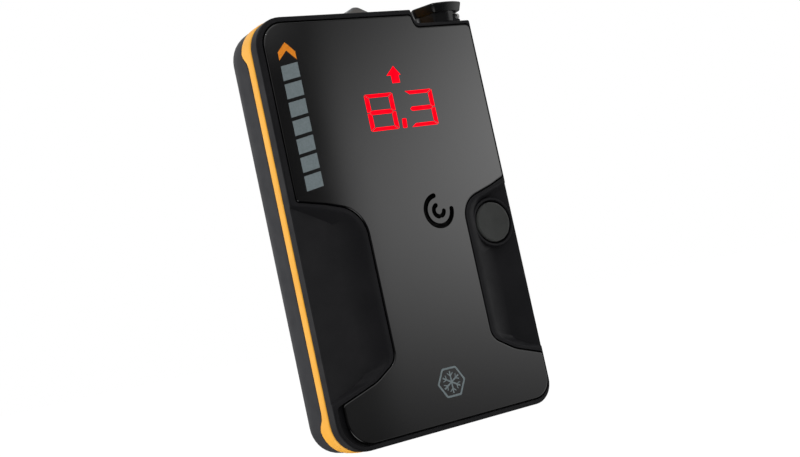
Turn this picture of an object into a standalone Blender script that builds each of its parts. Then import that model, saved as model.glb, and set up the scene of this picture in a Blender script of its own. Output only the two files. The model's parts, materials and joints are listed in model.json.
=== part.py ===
"""Avalanche transceiver standing on its bottom end, built as an assembly of separate parts.

Every part hangs on the empty device_frame. In its coordinates X runs to the right as seen from the front,
Y is the depth behind the front plane and Z runs up the case from its bottom end. Lengths are in
millimetres in the constants and function arguments, and mm() turns them into metres.
"""

import math

import bmesh
import bpy
from mathutils import Matrix, Vector

MM = 0.001
GAP = 0.3  # clearance between neighbouring pieces

# Case
CASE_WIDTH = 70.0
CASE_HEIGHT = 115.0
CASE_DEPTH = 23.0
SHELF_HEIGHT = 111.0  # the step at the top right that carries the selector
SHELF_START = 16.4
REAR_SIDE_RADIUS = 11.0
REAR_TOP_RADIUS = 8.0
REAR_BOTTOM_RADIUS = 5.0
WALL = 2.0
RIM_INSET = 3.8  # thick rim of both shells behind the trim band
RIM_BACK = 10.3
TONGUE_INSET = 2.35
ARC_STEPS = 4

# Layers from front to back
PLATE_BACK = 1.0
FRONT_WALL_BACK = 2.7
FRONT_CASE_BACK = 3.5
BAND_FRONT = 3.75
BAND_BACK = 6.95
BAND_CORNER_BACK = 9.4
REAR_CASE_FRONT = 7.25
BOARD_FRONT = 6.3
BOARD_BACK = 7.5

# Grip scoops to the left (-1) and right (1) of SCOOP_MIDDLE. Each curve has a lower and an upper run, given as
# its inner corner and its bend, (distance from SCOOP_MIDDLE, z, radius), and its slope beyond the bend.
SCOOP_MIDDLE = 2.4
SCOOP_EDGE = {
    -1: (((16.0, 20.8, 4.5), (22.9, 16.5, 14.0), -0.32), ((16.0, 61.3, 9.0), (27.0, 64.5, 20.0), 0.2)),
    1: (((16.0, 20.8, 4.5), (22.9, 16.5, 14.0), -0.32), ((16.0, 59.5, 7.0), (27.0, 62.85, 20.0), 0.4)),
}
SCOOP_CREASE = (
    ((24.4, 19.4, 3.0), (29.0, 16.9, 8.0), -0.36),
    ((24.4, 58.7, 3.0), (30.0, 61.5, 8.0), 0.45),
)
SCOOP_DEPTH = 2.2  # along the crease
SCOOP_SIDE_DEPTH = 0.7  # at the case's side, where the floor has risen again
SCOOP_RIDGE = 0.95  # from the face plate's edge to where the scoop starts
SCOOP_ROUNDING = 1.5  # length over which the wall rounds over from the ridge
CUTTER_EDGE = 0.15  # depth at which that rounding starts, just in front of the case's face

# Face plate
PLATE_LEFT = -32.8
PLATE_RIGHT = 34.4
TAB_LEFT = -31.8  # the plate is narrower below the left scoop
TAB_POCKET_LEFT = -33.4

# Thumb button
BUTTON_X = 28.0
BUTTON_Z = 52.4
BUTTON_RADIUS = 5.65

# Speaker
SPEAKER_X = 10.0
SPEAKER_Z = 58.0

# Selector on the shelf
SELECTOR_X = 29.1
SELECTOR_DEPTH = 7.2
KNOB_CORNERS = (  # seen from above, as x, depth and radius
    (24.0, 1.3, 1.6),
    (29.0, -0.35, 12.0),
    (34.05, 1.2, 0.6),
    (35.0, 7.5, 4.0),
    (32.0, 13.6, 3.0),
    (24.5, 13.6, 4.0),
    (20.8, 7.6, 2.0),
)
SKIRT_CORNERS = (  # below the knob's pointed side, clear of the lock however far the knob is turned
    (24.5, 2.4, 1.6),
    (28.6, 0.9, 4.0),
    (30.8, 1.3, 0.5),
    (29.6, 6.0, 0.4),
    (25.4, 11.3, 0.6),
    (22.0, 7.5, 1.8),
)
NECK_RADIUS = 2.4
SHAFT_RADIUS = 1.2
LOCK_DEPTH = 4.3
LOCK_Z = 113.15

# Battery bay and its door
CELL_RADIUS = 5.25
CELL_LENGTH = 44.5
CELL_PITCH = 11.2
CELL_DEPTH = 15.8
BAY_LOW = 12.9
BAY_HIGH = 62.8
BAY_HALF_WIDTH = 17.3
BAY_FLOOR = 10.3
DOOR_LEFT = -20.0
DOOR_RIGHT = 21.0
DOOR_LOW = 10.2
DOOR_HIGH = 69.5
DOOR_FRONT = 21.35
DOOR_BACK = 22.95
HINGE_X = 20.2
HINGE_DEPTH = 22.15
HINGE_PIN_RADIUS = 0.35
HINGE_PIN_HOLE = 0.5
HINGE_CLEARANCE = 1.4  # room round the hinge axis for the door's edge to turn in
DOOR_SCREW_X = -14.0
DOOR_SCREW_Z = 66.3

# Case screws, as X and Z of each axis
SCREW_PLACES = ((-26.0, 14.0), (26.0, 14.0), (-26.0, 101.0), (26.0, 84.0))
BOARD_SCREWS = ((-8.0, 108.0), (0.0, 7.0))

# Lit display, between the middles of a digit's outer bars
DIGIT_HEIGHT = 9.2
DIGIT_WIDTH = 8.1


def mm(*values):
    return Vector(values) * MM


# ---------------------------------------------------------------- scene and objects


def clear_scene():
    for obj in list(bpy.data.objects):
        bpy.data.objects.remove(obj, do_unlink=True)


def make_collection(name):
    collection = bpy.data.collections.new(name)
    bpy.context.scene.collection.children.link(collection)
    return collection


def make_material(name, colour, roughness, metallic=0.0):
    material = bpy.data.materials.new(name)
    material.use_nodes = True
    shader = material.node_tree.nodes["Principled BSDF"]
    shader.inputs["Base Color"].default_value = (*colour, 1.0)
    shader.inputs["Roughness"].default_value = roughness
    shader.inputs["Metallic"].default_value = metallic
    return material


def add_part(name, mesh, material=None, location=(0, 0, 0)):
    """Adds a part, or a cutter when it has no material."""
    obj = bpy.data.objects.new(name, mesh)
    obj.parent = FRAME
    obj.location = location
    if material:
        mesh.materials.append(material)
        mesh.shade_smooth()
        mesh.set_sharp_from_angle(angle=math.radians(35))
        PARTS.objects.link(obj)
    else:
        obj.hide_render = True
        obj.display_type = "WIRE"
        CUTTERS.objects.link(obj)
    return obj


def mesh_from(name, shape):
    bmesh.ops.recalc_face_normals(shape, faces=shape.faces)
    mesh = bpy.data.meshes.new(name)
    shape.to_mesh(mesh)
    shape.free()
    return mesh


def combine(target, other, operation="DIFFERENCE"):
    modifier = target.modifiers.new(other.name, "BOOLEAN")
    modifier.operation = operation
    modifier.solver = "EXACT"
    modifier.object = other


# ---------------------------------------------------------------- basic shapes


def box(name, low, high, material=None, bevel=0.0):
    """A block between two corners given as x, depth and z."""
    size = [high[i] - low[i] for i in range(3)]
    middle = [(high[i] + low[i]) / 2 for i in range(3)]
    shape = bmesh.new()
    bmesh.ops.create_cube(shape, size=1.0, matrix=Matrix.Diagonal((*mm(*size), 1.0)))
    obj = add_part(name, mesh_from(name, shape), material, mm(*middle))
    if bevel:
        modifier = obj.modifiers.new("rounded_edges", "BEVEL")
        modifier.width = bevel * MM
        modifier.segments = 2
    return obj


AXIS_TURNS = {
    "x": Matrix.Rotation(math.radians(90), 4, "Y"),
    "y": Matrix.Rotation(math.radians(-90), 4, "X"),
    "z": Matrix.Identity(4),
}


def rod(name, start, axis, length, radius, material=None, segments=24):
    """A round bar that runs from start along +axis."""
    turn = AXIS_TURNS[axis]
    shape = bmesh.new()
    bmesh.ops.create_cone(
        shape,
        cap_ends=True,
        segments=segments,
        radius1=radius * MM,
        radius2=radius * MM,
        depth=length * MM,
        matrix=turn @ Matrix.Translation(mm(0, 0, length / 2)),
    )
    return add_part(name, mesh_from(name, shape), material, mm(*start))


def turned(name, start, axis, profile, material=None, steps=20, ring=False):
    """A profile of (radius, height) points, down its outer side, turned about the axis through start."""
    mesh = bpy.data.meshes.new(name)
    points = [mm(radius, 0, height) for radius, height in profile]
    edges = [(i, i + 1) for i in range(len(points) - 1)]
    if ring:
        edges.append((len(points) - 1, 0))
    mesh.from_pydata(points, edges, [])
    obj = add_part(name, mesh, material, mm(*start))
    obj.matrix_local = Matrix.Translation(mm(*start)) @ AXIS_TURNS[axis]
    modifier = obj.modifiers.new("turn", "SCREW")
    modifier.steps = steps
    modifier.render_steps = steps
    modifier.use_merge_vertices = True
    modifier.merge_threshold = 0.00001
    modifier.use_smooth_shade = True
    return obj


def spring(name, start, axis, length, radius, end_radius, turns, wire, material):
    """A coil spring, cylindrical or conical."""
    per_turn = 10
    count = int(turns * per_turn)
    curve = bpy.data.curves.new(name, "CURVE")
    curve.dimensions = "3D"
    curve.bevel_depth = wire * MM
    curve.bevel_resolution = 1
    curve.use_fill_caps = True
    spline = curve.splines.new("POLY")
    spline.points.add(count)
    for i, point in enumerate(spline.points):
        share = i / count
        angle = 2 * math.pi * turns * share
        reach = radius + (end_radius - radius) * share
        place = mm(reach * math.cos(angle), reach * math.sin(angle), length * share)
        point.co = (*place, 1.0)
    obj = bpy.data.objects.new(name, curve)
    obj.parent = FRAME
    obj.matrix_local = Matrix.Translation(mm(*start)) @ AXIS_TURNS[axis]
    curve.materials.append(material)
    PARTS.objects.link(obj)
    return obj


# ---------------------------------------------------------------- outlines


def inset_corners(corners, insets):
    """Moves each edge of a counter-clockwise outline inwards. Edge i runs from corner i to the next."""
    count = len(corners)
    lines = []
    for i in range(count):
        start = Vector(corners[i][:2])
        along = (Vector(corners[(i + 1) % count][:2]) - start).normalized()
        inward = Vector((-along.y, along.x))
        lines.append((start + inward * insets[i], along))
    moved = []
    for i in range(count):
        (a, along_a), (b, along_b) = lines[i - 1], lines[i]
        cross = along_a.x * along_b.y - along_a.y * along_b.x
        reach = ((b.x - a.x) * along_b.y - (b.y - a.y) * along_b.x) / cross
        corner = a + along_a * reach
        mean = (insets[i - 1] + insets[i]) / 2
        radius = corners[i][2]
        if radius:
            radius = max(radius - 0.45 * mean, 0.6) if cross > 0 else radius + 0.6 * mean
        moved.append((corner.x, corner.y, radius))
    return moved


def rounded_loop(corners, steps=ARC_STEPS):
    """The points of an outline of (x, z, radius) corners, with an arc at each corner that has a radius."""
    points = []
    count = len(corners)
    for i in range(count):
        corner = Vector(corners[i][:2])
        radius = corners[i][2]
        if not radius:
            points.append(corner)
            continue
        back = (Vector(corners[i - 1][:2]) - corner).normalized()
        ahead = (Vector(corners[(i + 1) % count][:2]) - corner).normalized()
        half = back.angle(ahead) / 2
        centre = corner + (back + ahead).normalized() * radius / math.sin(half)
        first = corner + back * radius / math.tan(half) - centre
        last = corner + ahead * radius / math.tan(half) - centre
        sweep = first.angle_signed(last)
        for step in range(steps + 1):
            turn = Matrix.Rotation(-sweep * step / steps, 2)
            points.append(centre + turn @ first)
    return points


def arc_slot(x, z, radius, width, start_deg, end_deg, steps=14):
    """The outline of a slot that follows an arc."""
    def ring(reach, angles):
        return [Vector((x + reach * math.cos(a), z + reach * math.sin(a))) for a in angles]

    span = [math.radians(start_deg + (end_deg - start_deg) * i / steps) for i in range(steps + 1)]
    return ring(radius + width / 2, span) + ring(radius - width / 2, span[::-1])


def circle(x, z, radius, steps=20):
    angles = [2 * math.pi * i / steps for i in range(steps)]
    return [Vector((x + radius * math.cos(a), z + radius * math.sin(a))) for a in angles]


def flat_piece(name, loops, front, back, material=None):
    """A plate between two depths: the first loop is its outline, the others are openings in it."""
    curve = bpy.data.curves.new(name, "CURVE")
    curve.dimensions = "2D"
    curve.fill_mode = "BOTH"
    curve.extrude = (back - front) / 2 * MM
    for loop in loops:
        spline = curve.splines.new("POLY")
        spline.points.add(len(loop) - 1)
        for point, place in zip(spline.points, loop):
            point.co = (*mm(place.x, place.y, 0), 1.0)
        spline.use_cyclic_u = True
    guide = bpy.data.objects.new(name + "_outline", curve)
    CUTTERS.objects.link(guide)
    graph = bpy.context.evaluated_depsgraph_get()
    mesh = bpy.data.meshes.new_from_object(guide.evaluated_get(graph))
    bpy.data.objects.remove(guide)
    mesh.name = name
    mesh.transform(Matrix.Rotation(math.radians(90), 4, "X"))
    shape = bmesh.new()
    shape.from_mesh(mesh)
    bmesh.ops.remove_doubles(shape, verts=shape.verts, dist=0.000001)
    bmesh.ops.recalc_face_normals(shape, faces=shape.faces)
    shape.to_mesh(mesh)
    shape.free()
    return add_part(name, mesh, material, mm(0, (front + back) / 2, 0))


def level(depth, points):
    """An outline's points at one depth."""
    return [mm(p.x, depth, p.y) for p in points]


def loft(name, rings, material=None):
    """A closed body through rings of equal point counts."""
    shape = bmesh.new()
    rows = [[shape.verts.new(point) for point in ring] for ring in rings]
    for lower, upper in zip(rows, rows[1:]):
        for i in range(len(lower)):
            shape.faces.new((lower[i - 1], lower[i], upper[i], upper[i - 1]))
    shape.faces.new(rows[0])
    shape.faces.new(rows[-1])
    return add_part(name, mesh_from(name, shape), material)


# ---------------------------------------------------------------- case outline


def case_corners():
    side = CASE_WIDTH / 2
    return [
        (-side, 0, 8.5),
        (side, 0, 6.0),
        (side, SHELF_HEIGHT, 1.7),
        (SHELF_START, SHELF_HEIGHT, 2.0),
        (SHELF_START - 1.5, CASE_HEIGHT, 0.9),
        (-side, CASE_HEIGHT, 8.5),
    ]


def case_loop(side, bottom=None, top=None):
    """The case outline moved inwards by the amounts at its sides, bottom and top."""
    bottom = side if bottom is None else bottom
    top = side if top is None else top
    return rounded_loop(inset_corners(case_corners(), [bottom, side, top, top, top, side]))


def round_over(depth, radius, back):
    """How far a surface whose rear edge is rounded has moved inwards at a depth."""
    below = depth - (back - radius)
    return 0.0 if below <= 0 else radius - math.sqrt(max(radius**2 - below**2, 0.0))


def rear_ring(depth, wall):
    """Outline of the rear case at a depth, on its outside or a wall's thickness inside it."""
    back = CASE_DEPTH - wall
    insets = [
        wall + round_over(depth, radius - wall, back)
        for radius in (REAR_SIDE_RADIUS, REAR_BOTTOM_RADIUS, REAR_TOP_RADIUS)
    ]
    return level(depth, case_loop(*insets))


def rounded_depths(wall, steps=6):
    radius = REAR_SIDE_RADIUS - wall
    start = CASE_DEPTH - REAR_SIDE_RADIUS
    return [start + radius * math.sin(math.pi / 2 * i / steps) for i in range(steps + 1)]


def scoop_run(side, curve, low_x, high_x):
    """The corners along a scoop's curve from the bottom up. It starts at low_x and ends at high_x."""
    ends = []
    for (_, bend, slope), x in zip(curve, (low_x, high_x)):
        away = abs(x - SCOOP_MIDDLE)
        ends.append((away, bend[1] + slope * (away - bend[0]), 0.8))
    (low_inner, low_bend, _), (high_inner, high_bend, _) = curve
    corners = [ends[0], low_bend, low_inner, high_inner, high_bend, ends[1]]
    return [(SCOOP_MIDDLE + side * away, z, radius) for away, z, radius in corners]


def plate_corners(grow, tab_left=TAB_LEFT):
    """The face plate's hourglass outline around the two scoops."""
    corners = [(tab_left, 1.6, 7.0), (PLATE_RIGHT, 1.6, 5.5)]
    corners += scoop_run(1, SCOOP_EDGE[1], PLATE_RIGHT, PLATE_RIGHT)
    corners += [
        (PLATE_RIGHT, SHELF_HEIGHT - 1.3, 1.4),
        (SHELF_START - 0.9, SHELF_HEIGHT - 1.3, 2.2),
        (SHELF_START - 2.2, CASE_HEIGHT - 1.7, 0.8),
        (PLATE_LEFT, CASE_HEIGHT - 1.7, 6.3),
    ]
    corners += scoop_run(-1, SCOOP_EDGE[-1], tab_left, PLATE_LEFT)[::-1]
    return inset_corners(corners, [-grow] * len(corners))


def speaker_slots():
    return [
        arc_slot(SPEAKER_X, SPEAKER_Z, 4.3, 1.4, 95, 365),
        arc_slot(SPEAKER_X, SPEAKER_Z, 1.6, 1.3, 100, 350, 8),
    ]


# ---------------------------------------------------------------- case parts


def scoop_wall(top, crease, floor):
    """Points down a scoop's wall, which rounds over from the ridge and then runs straight to the crease."""
    run = (crease - top).length
    rounding = min(SCOOP_ROUNDING, 0.6 * run)
    slope = (floor - CUTTER_EDGE) / (run - rounding / 2)
    points = []
    for reach in (0.0, rounding / 2, rounding):
        place = top.lerp(crease, reach / run)
        points.append(mm(place.x, CUTTER_EDGE + slope * reach**2 / (2 * rounding), place.y))
    points.append(mm(crease.x, floor, crease.y))
    return points


def scoop_cutter(name, side):
    """A grip scoop: its wall slopes from the ridge to a crease, where a flat floor rises towards the side."""
    reach = side * (CASE_WIDTH / 2 + 2.2)
    loops = []
    for curve, inset in ((SCOOP_EDGE[side], SCOOP_RIDGE), (SCOOP_CREASE, 0.0)):
        corners = scoop_run(side, curve, reach, reach)
        if side > 0:
            corners.reverse()
        loops.append(rounded_loop(inset_corners(corners, [inset] * len(corners))))
    crease_x = SCOOP_MIDDLE + side * SCOOP_CREASE[0][0][0]
    rise = (SCOOP_DEPTH - SCOOP_SIDE_DEPTH) / (side * CASE_WIDTH / 2 - crease_x)
    walls = []
    for top, crease in zip(*loops):
        walls.append(scoop_wall(top, crease, SCOOP_DEPTH - rise * (crease.x - crease_x)))
    above = level(-1.0, loops[0])
    return loft(name, [above] + [list(ring) for ring in zip(*walls)])


def make_front_case(material):
    depths = ((0.2, 0.7), (0.45, 0.25), (0.9, 0.0), (FRONT_CASE_BACK, 0.0))
    case = loft("front_case", [level(depth, case_loop(inset)) for depth, inset in depths], material)
    pocket = rounded_loop(plate_corners(GAP, TAB_POCKET_LEFT))
    combine(case, flat_piece("plate_pocket", [pocket], -1.0, PLATE_BACK + GAP))
    combine(case, scoop_cutter("left_scoop", -1))
    combine(case, scoop_cutter("right_scoop", 1))
    combine(case, flat_piece("front_hollow", [case_loop(1.6)], FRONT_WALL_BACK, 6.0))
    combine(case, box("display_window", (-9, 0, 80), (19, 4, 101)))
    combine(case, rod("speaker_hole", (SPEAKER_X, 0, SPEAKER_Z), "y", 4, 6.0))
    skirt = flat_piece("front_skirt", [case_loop(TONGUE_INSET), case_loop(RIM_INSET - 0.2)], 2.5, 3.9)
    combine(case, skirt, "UNION")
    button_collar(case)
    for number, (x, z) in enumerate(SCREW_PLACES, 1):
        boss = rod(f"front_boss_{number}", (x, 2.3, z), "y", BOARD_FRONT - GAP - 2.3, 3.0)
        combine(case, boss, "UNION")
        combine(case, rod(f"front_boss_hole_{number}", (x, 3.0, z), "y", 5, 1.3, segments=12))
    return case


def button_collar(case):
    """The raised ring round the thumb button, its well and the hole for the button's stem."""
    place = (BUTTON_X, 0, BUTTON_Z)
    ring = [(6.95, 2.5), (5.75, 2.5), (6.25, 0.55), (6.85, 0.55), (6.95, 1.6)]
    collar = turned("collar", place, "y", ring, ring=True)
    combine(case, rod("button_well", (BUTTON_X, -1, BUTTON_Z), "y", 2.9, 6.3))
    combine(case, collar, "UNION")
    combine(case, rod("button_stem_hole", place, "y", 5, 2.85))


def make_face_plate(material):
    depths = ((0.0, -0.35), (0.3, 0.0), (PLATE_BACK, 0.0))
    rings = [level(depth, rounded_loop(plate_corners(grow))) for depth, grow in depths]
    plate = loft("face_plate", rings, material)
    for number, slot in enumerate(speaker_slots(), 1):
        combine(plate, flat_piece(f"speaker_slot_{number}", [slot], -1.0, PLATE_BACK + 1.0))
    return plate


def band_shape(name, outer, inner, front, back, gap, material=None):
    """A band round the case that is narrow along the straight sides and deep round the corners."""
    band = flat_piece(name, [case_loop(outer), case_loop(inner)], front, back, material)
    edge = BAND_BACK + gap
    spans = {
        "sides": ((-60, edge, 11.5 + gap), (60, 16, 103.0 - gap)),
        "ends": ((-23 + gap, edge, -20), (23 - gap, 16, 140)),
    }
    for place, (low, high) in spans.items():
        cutter = box(f"{name}_{place}", low, high, bevel=2.2 if place == "sides" else 0)
        combine(band, cutter)
    return band


def make_trim_band(material):
    band = band_shape("trim_band", 0.0, 2.0, BAND_FRONT, BAND_CORNER_BACK, 0.0, material)
    combine(band, rod("band_shaft_hole", (SELECTOR_X, SELECTOR_DEPTH, 100), "z", 20, SHAFT_RADIUS + GAP))
    return band


def make_rear_case(material):
    tongue = case_loop(TONGUE_INSET)
    outside = [level(5.5, tongue), level(REAR_CASE_FRONT, tongue), level(REAR_CASE_FRONT, case_loop(0))]
    outside += [rear_ring(depth, 0.0) for depth in rounded_depths(0.0)]
    case = loft("rear_case", outside, material)
    rim = case_loop(RIM_INSET)
    inside = [level(5.0, rim), level(RIM_BACK, rim), level(RIM_BACK, case_loop(WALL))]
    inside += [rear_ring(depth, WALL) for depth in rounded_depths(WALL)]
    combine(case, loft("rear_hollow", inside))
    pocket = band_shape("band_pocket", -3.0, 2.3, REAR_CASE_FRONT - 1, BAND_CORNER_BACK + GAP, GAP)
    combine(case, pocket)
    add_battery_bay(case)
    for number, (x, z) in enumerate(SCREW_PLACES, 1):
        column = rod(f"rear_column_{number}", (x, BOARD_BACK + GAP, z), "y", 12.7, 3.2)
        combine(case, column, "UNION")
        combine(case, rod(f"screw_hole_{number}", (x, 6, z), "y", 14, 1.3, segments=12))
        combine(case, rod(f"screw_recess_{number}", (x, 17.5, z), "y", 8, 2.6))
    combine(case, rod("case_shaft_hole", (SELECTOR_X, SELECTOR_DEPTH, 100), "z", 20, SHAFT_RADIUS + GAP))
    combine(case, box("lug_slot", (-0.9, 8.0, 113.3), (8.1, 14.1, 118)))
    return case


def add_battery_bay(case):
    """The walled bay for the cells, with a rebate for the door and a step for the door's gasket."""
    block = box("bay_block", (-21.6, 9.0, 8.2), (23.2, 21.5, 72.0))
    combine(case, block, "UNION")
    combine(case, box("bay_hollow", (-BAY_HALF_WIDTH, BAY_FLOOR, BAY_LOW), (BAY_HALF_WIDTH, 26, BAY_HIGH)))
    combine(case, box("gasket_step", (-19.3, 20.0, 11.0), (19.3, 26, 64.9)))
    low = DOOR_LOW - GAP
    high = DOOR_HIGH + GAP
    hinge_front = HINGE_DEPTH - HINGE_CLEARANCE
    combine(case, box("door_rebate", (DOOR_LEFT - GAP, 21.0, low), (HINGE_X, 26, high)))
    combine(case, box("hinge_relief", (19.7, hinge_front, low), (HINGE_X + HINGE_CLEARANCE, 26, high)))
    pin_hole = rod("hinge_pin_hole", (HINGE_X, HINGE_DEPTH, 7.5), "z", 65, HINGE_PIN_HOLE, segments=12)
    combine(case, pin_hole)
    combine(case, rod("door_screw_pocket", (DOOR_SCREW_X, 18.5, DOOR_SCREW_Z), "y", 4, 1.6, segments=12))


def make_case_gasket(material):
    loops = [case_loop(TONGUE_INSET + 0.1), case_loop(RIM_INSET - 0.3)]
    return flat_piece("case_gasket", loops, 4.2, 5.2, material)


def make_case_screws(material):
    for number, (x, z) in enumerate(SCREW_PLACES, 1):
        profile = [(0, 16.0), (2.2, 16.0), (2.2, 14.5), (1.0, 14.5), (1.0, 0.3), (0.7, 0), (0, 0)]
        turned(f"case_screw_{number}", (x, 3.3, z), "y", profile, material, steps=16)


def make_leash_lug(material):
    corners = [(-0.6, 113.6, 0), (7.8, 113.6, 0), (7.8, 117.0, 0.4)]
    corners += [(3.8, 118.95, 2.2), (2.1, 118.95, 2.0), (-0.6, 117.1, 0.5)]
    lug = flat_piece("leash_lug", [rounded_loop(corners)], 8.3, 13.8, material)
    combine(lug, box("leash_hole", (1.6, 4, 115.4), (5.6, 18, 117.3), bevel=0.85))
    return lug


# ---------------------------------------------------------------- battery bay parts


def make_battery_door(material):
    corners = [(DOOR_LEFT, DOOR_LOW, 1.2), (DOOR_RIGHT, DOOR_LOW, 0.6)]
    corners += [(DOOR_RIGHT, DOOR_HIGH, 0.6), (DOOR_LEFT, DOOR_HIGH, 1.2)]
    door = flat_piece("battery_door", [rounded_loop(corners)], DOOR_FRONT, DOOR_BACK, material)
    combine(door, rod("door_screw_recess", (DOOR_SCREW_X, 21.9, DOOR_SCREW_Z), "y", 2, 2.8))
    combine(door, rod("door_screw_hole", (DOOR_SCREW_X, 20, DOOR_SCREW_Z), "y", 4, 1.4, segments=12))
    combine(door, rod("door_pin_hole", (HINGE_X, HINGE_DEPTH, 5), "z", 70, HINGE_PIN_HOLE, segments=12))
    return door


def make_door_screw(material):
    """The captive fastener of the door, with a coin slot and a tail that reaches into the case."""
    profile = [(0, 0.75), (2.5, 0.75), (2.5, 0), (1.0, 0), (1.0, -2.3), (0, -2.3)]
    screw = turned("door_screw", (DOOR_SCREW_X, 22.15, DOOR_SCREW_Z), "y", profile, material)
    slot_low = (DOOR_SCREW_X - 1.9, 22.55, DOOR_SCREW_Z - 0.4)
    slot_high = (DOOR_SCREW_X + 1.9, 24, DOOR_SCREW_Z + 0.4)
    combine(screw, box("coin_slot", slot_low, slot_high))


def make_hinge_pin(material):
    rod("door_hinge_pin", (HINGE_X, HINGE_DEPTH, 7.8), "z", 64.2, HINGE_PIN_RADIUS, material, segments=12)


def make_door_gasket(material):
    outer = [(-19.0, 11.3, 2), (19.0, 11.3, 2), (19.0, 64.6, 2), (-19.0, 64.6, 2)]
    inner = [(-17.5, 12.7, 1), (17.5, 12.7, 1), (17.5, 63.0, 1), (-17.5, 63.0, 1)]
    return flat_piece("door_gasket", [rounded_loop(outer), rounded_loop(inner)], 20.3, 21.0, material)


def make_cells(sleeve):
    half = CELL_LENGTH / 2
    profile = [(0, half), (1.9, half), (1.9, half - 1), (4.6, half - 1), (CELL_RADIUS, half - 1.6)]
    profile += [(CELL_RADIUS, 0.4 - half), (CELL_RADIUS - 0.4, -half), (0, -half)]
    middle = (BAY_LOW + BAY_HIGH) / 2 + 0.6
    for number in (1, 2, 3):
        x = (number - 2) * CELL_PITCH
        turned(f"battery_cell_{number}", (x, CELL_DEPTH, middle), "z", profile, sleeve)
    return middle


def make_contacts(metal, middle):
    """A conical spring below each cell and a flat contact above it."""
    low = BAY_LOW + GAP
    below = middle - CELL_LENGTH / 2 - 0.2 - low
    above = middle + CELL_LENGTH / 2 + 0.2
    for number in (1, 2, 3):
        x = (number - 2) * CELL_PITCH
        start = (x, CELL_DEPTH, low + 0.25)
        spring(f"contact_spring_{number}", start, "z", below - 0.5, 3.4, 1.8, 2.5, 0.25, metal)
        box(f"contact_plate_{number}", (x - 4, 12.2, above), (x + 4, 19.4, above + 0.4), metal)


# ---------------------------------------------------------------- electronics


def make_main_board(material):
    right = 30.8
    corners = [(-right, 4.4, 7), (right, 4.4, 4.5), (right, 93, 1), (23.5, 93, 1), (23.5, 106.6, 1)]
    corners += [(9.5, 106.6, 1), (8.5, 110.4, 1), (-right, 110.4, 7)]
    loops = [rounded_loop(corners)]
    loops += [circle(x, z, 1.5, 12) for x, z in SCREW_PLACES]
    loops += [circle(x, z, 0.9, 12) for x, z in BOARD_SCREWS]
    return flat_piece("main_board", loops, BOARD_FRONT, BOARD_BACK, material)


def make_board_screws(material):
    profile = [(0, 3.0), (1.6, 3.0), (1.6, 2.0), (0.6, 2.0), (0.6, 0), (0, 0)]
    for number, (x, z) in enumerate(BOARD_SCREWS, 1):
        turned(f"board_screw_{number}", (x, 5.8, z), "y", profile, material, steps=12)


def make_chips(dark, metal, sleeve):
    back = BOARD_BACK + GAP
    box("processor", (-19, back, 79), (-9, back + 1.0, 89), dark)
    box("radio_chip", (14, back, 71), (20, back + 1.0, 77), dark)
    box("crystal", (-16, back, 72), (-11, back + 1.2, 74.4), metal, bevel=0.3)
    rod("capacitor", (18, back, 92), "y", 6.0, 3.0, sleeve)


def segment_bar(x, z, upright, length=4.9, width=1.3):
    """One bar of a seven-segment digit: a long hexagon."""
    half = length / 2
    tip = width / 2
    points = [(-half, 0), (-half + tip, -tip), (half - tip, -tip)]
    points += [(-a, -b) for a, b in points]
    if upright:
        points = [(-b, a) for a, b in points]
    return [Vector((x + a, z + b)) for a, b in points]


def make_digit(name, x, z, lit, glow):
    """A digit's light guide: a thin backing with a raised bar for each lit segment."""
    half = DIGIT_WIDTH / 2
    reach = DIGIT_HEIGHT / 2
    places = {
        "top": (0, reach, False), "middle": (0, 0, False), "bottom": (0, -reach, False),
        "upper_left": (-half, reach / 2, True), "lower_left": (-half, -reach / 2, True),
        "upper_right": (half, reach / 2, True), "lower_right": (half, -reach / 2, True),
    }
    backing = (x - half - 0.8, 1.6, z - reach - 0.8), (x + half + 0.8, 1.75, z + reach + 0.8)
    guide = box(name, *backing, glow)
    for place in lit:
        dx, dz, upright = places[place]
        length = reach - 0.3 if upright else DIGIT_WIDTH - 0.6
        bar = flat_piece(f"{name}_{place}", [segment_bar(x + dx, z + dz, upright, length)], 1.35, 1.7)
        combine(guide, bar, "UNION")


def make_display(block_material, glow):
    every = ["top", "middle", "bottom", "upper_left", "lower_left", "upper_right", "lower_right"]
    make_digit("digit_left", -1.5, 86.9, every, glow)
    make_digit("digit_right", 11.7, 86.9, [e for e in every if not e.endswith("_left")], glow)
    box("decimal_point", (4.4, 1.35, 81.8), (5.8, 1.75, 84.5), glow)
    arrow = [(5.3, 99.3), (2.5, 96.6), (4.1, 96.6), (4.1, 94.5), (6.5, 94.5), (6.5, 96.6), (8.0, 96.6)]
    flat_piece("direction_arrow", [[Vector(p) for p in arrow]], 1.35, 1.75, glow)
    box("display_block", (-8.6, 2.05, 80.4), (18.6, 5.9, 100.6), block_material)


def make_speaker(brass, membrane):
    flat_piece("speaker_membrane", [circle(SPEAKER_X, SPEAKER_Z, 7.0)], 3.0, 3.3, membrane)
    profile = [(0, 1.6), (4.5, 1.6), (4.5, 1.0), (8.0, 1.0), (8.0, 0), (0, 0)]
    turned("piezo_speaker", (SPEAKER_X, 3.7, SPEAKER_Z), "y", profile, brass)


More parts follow.
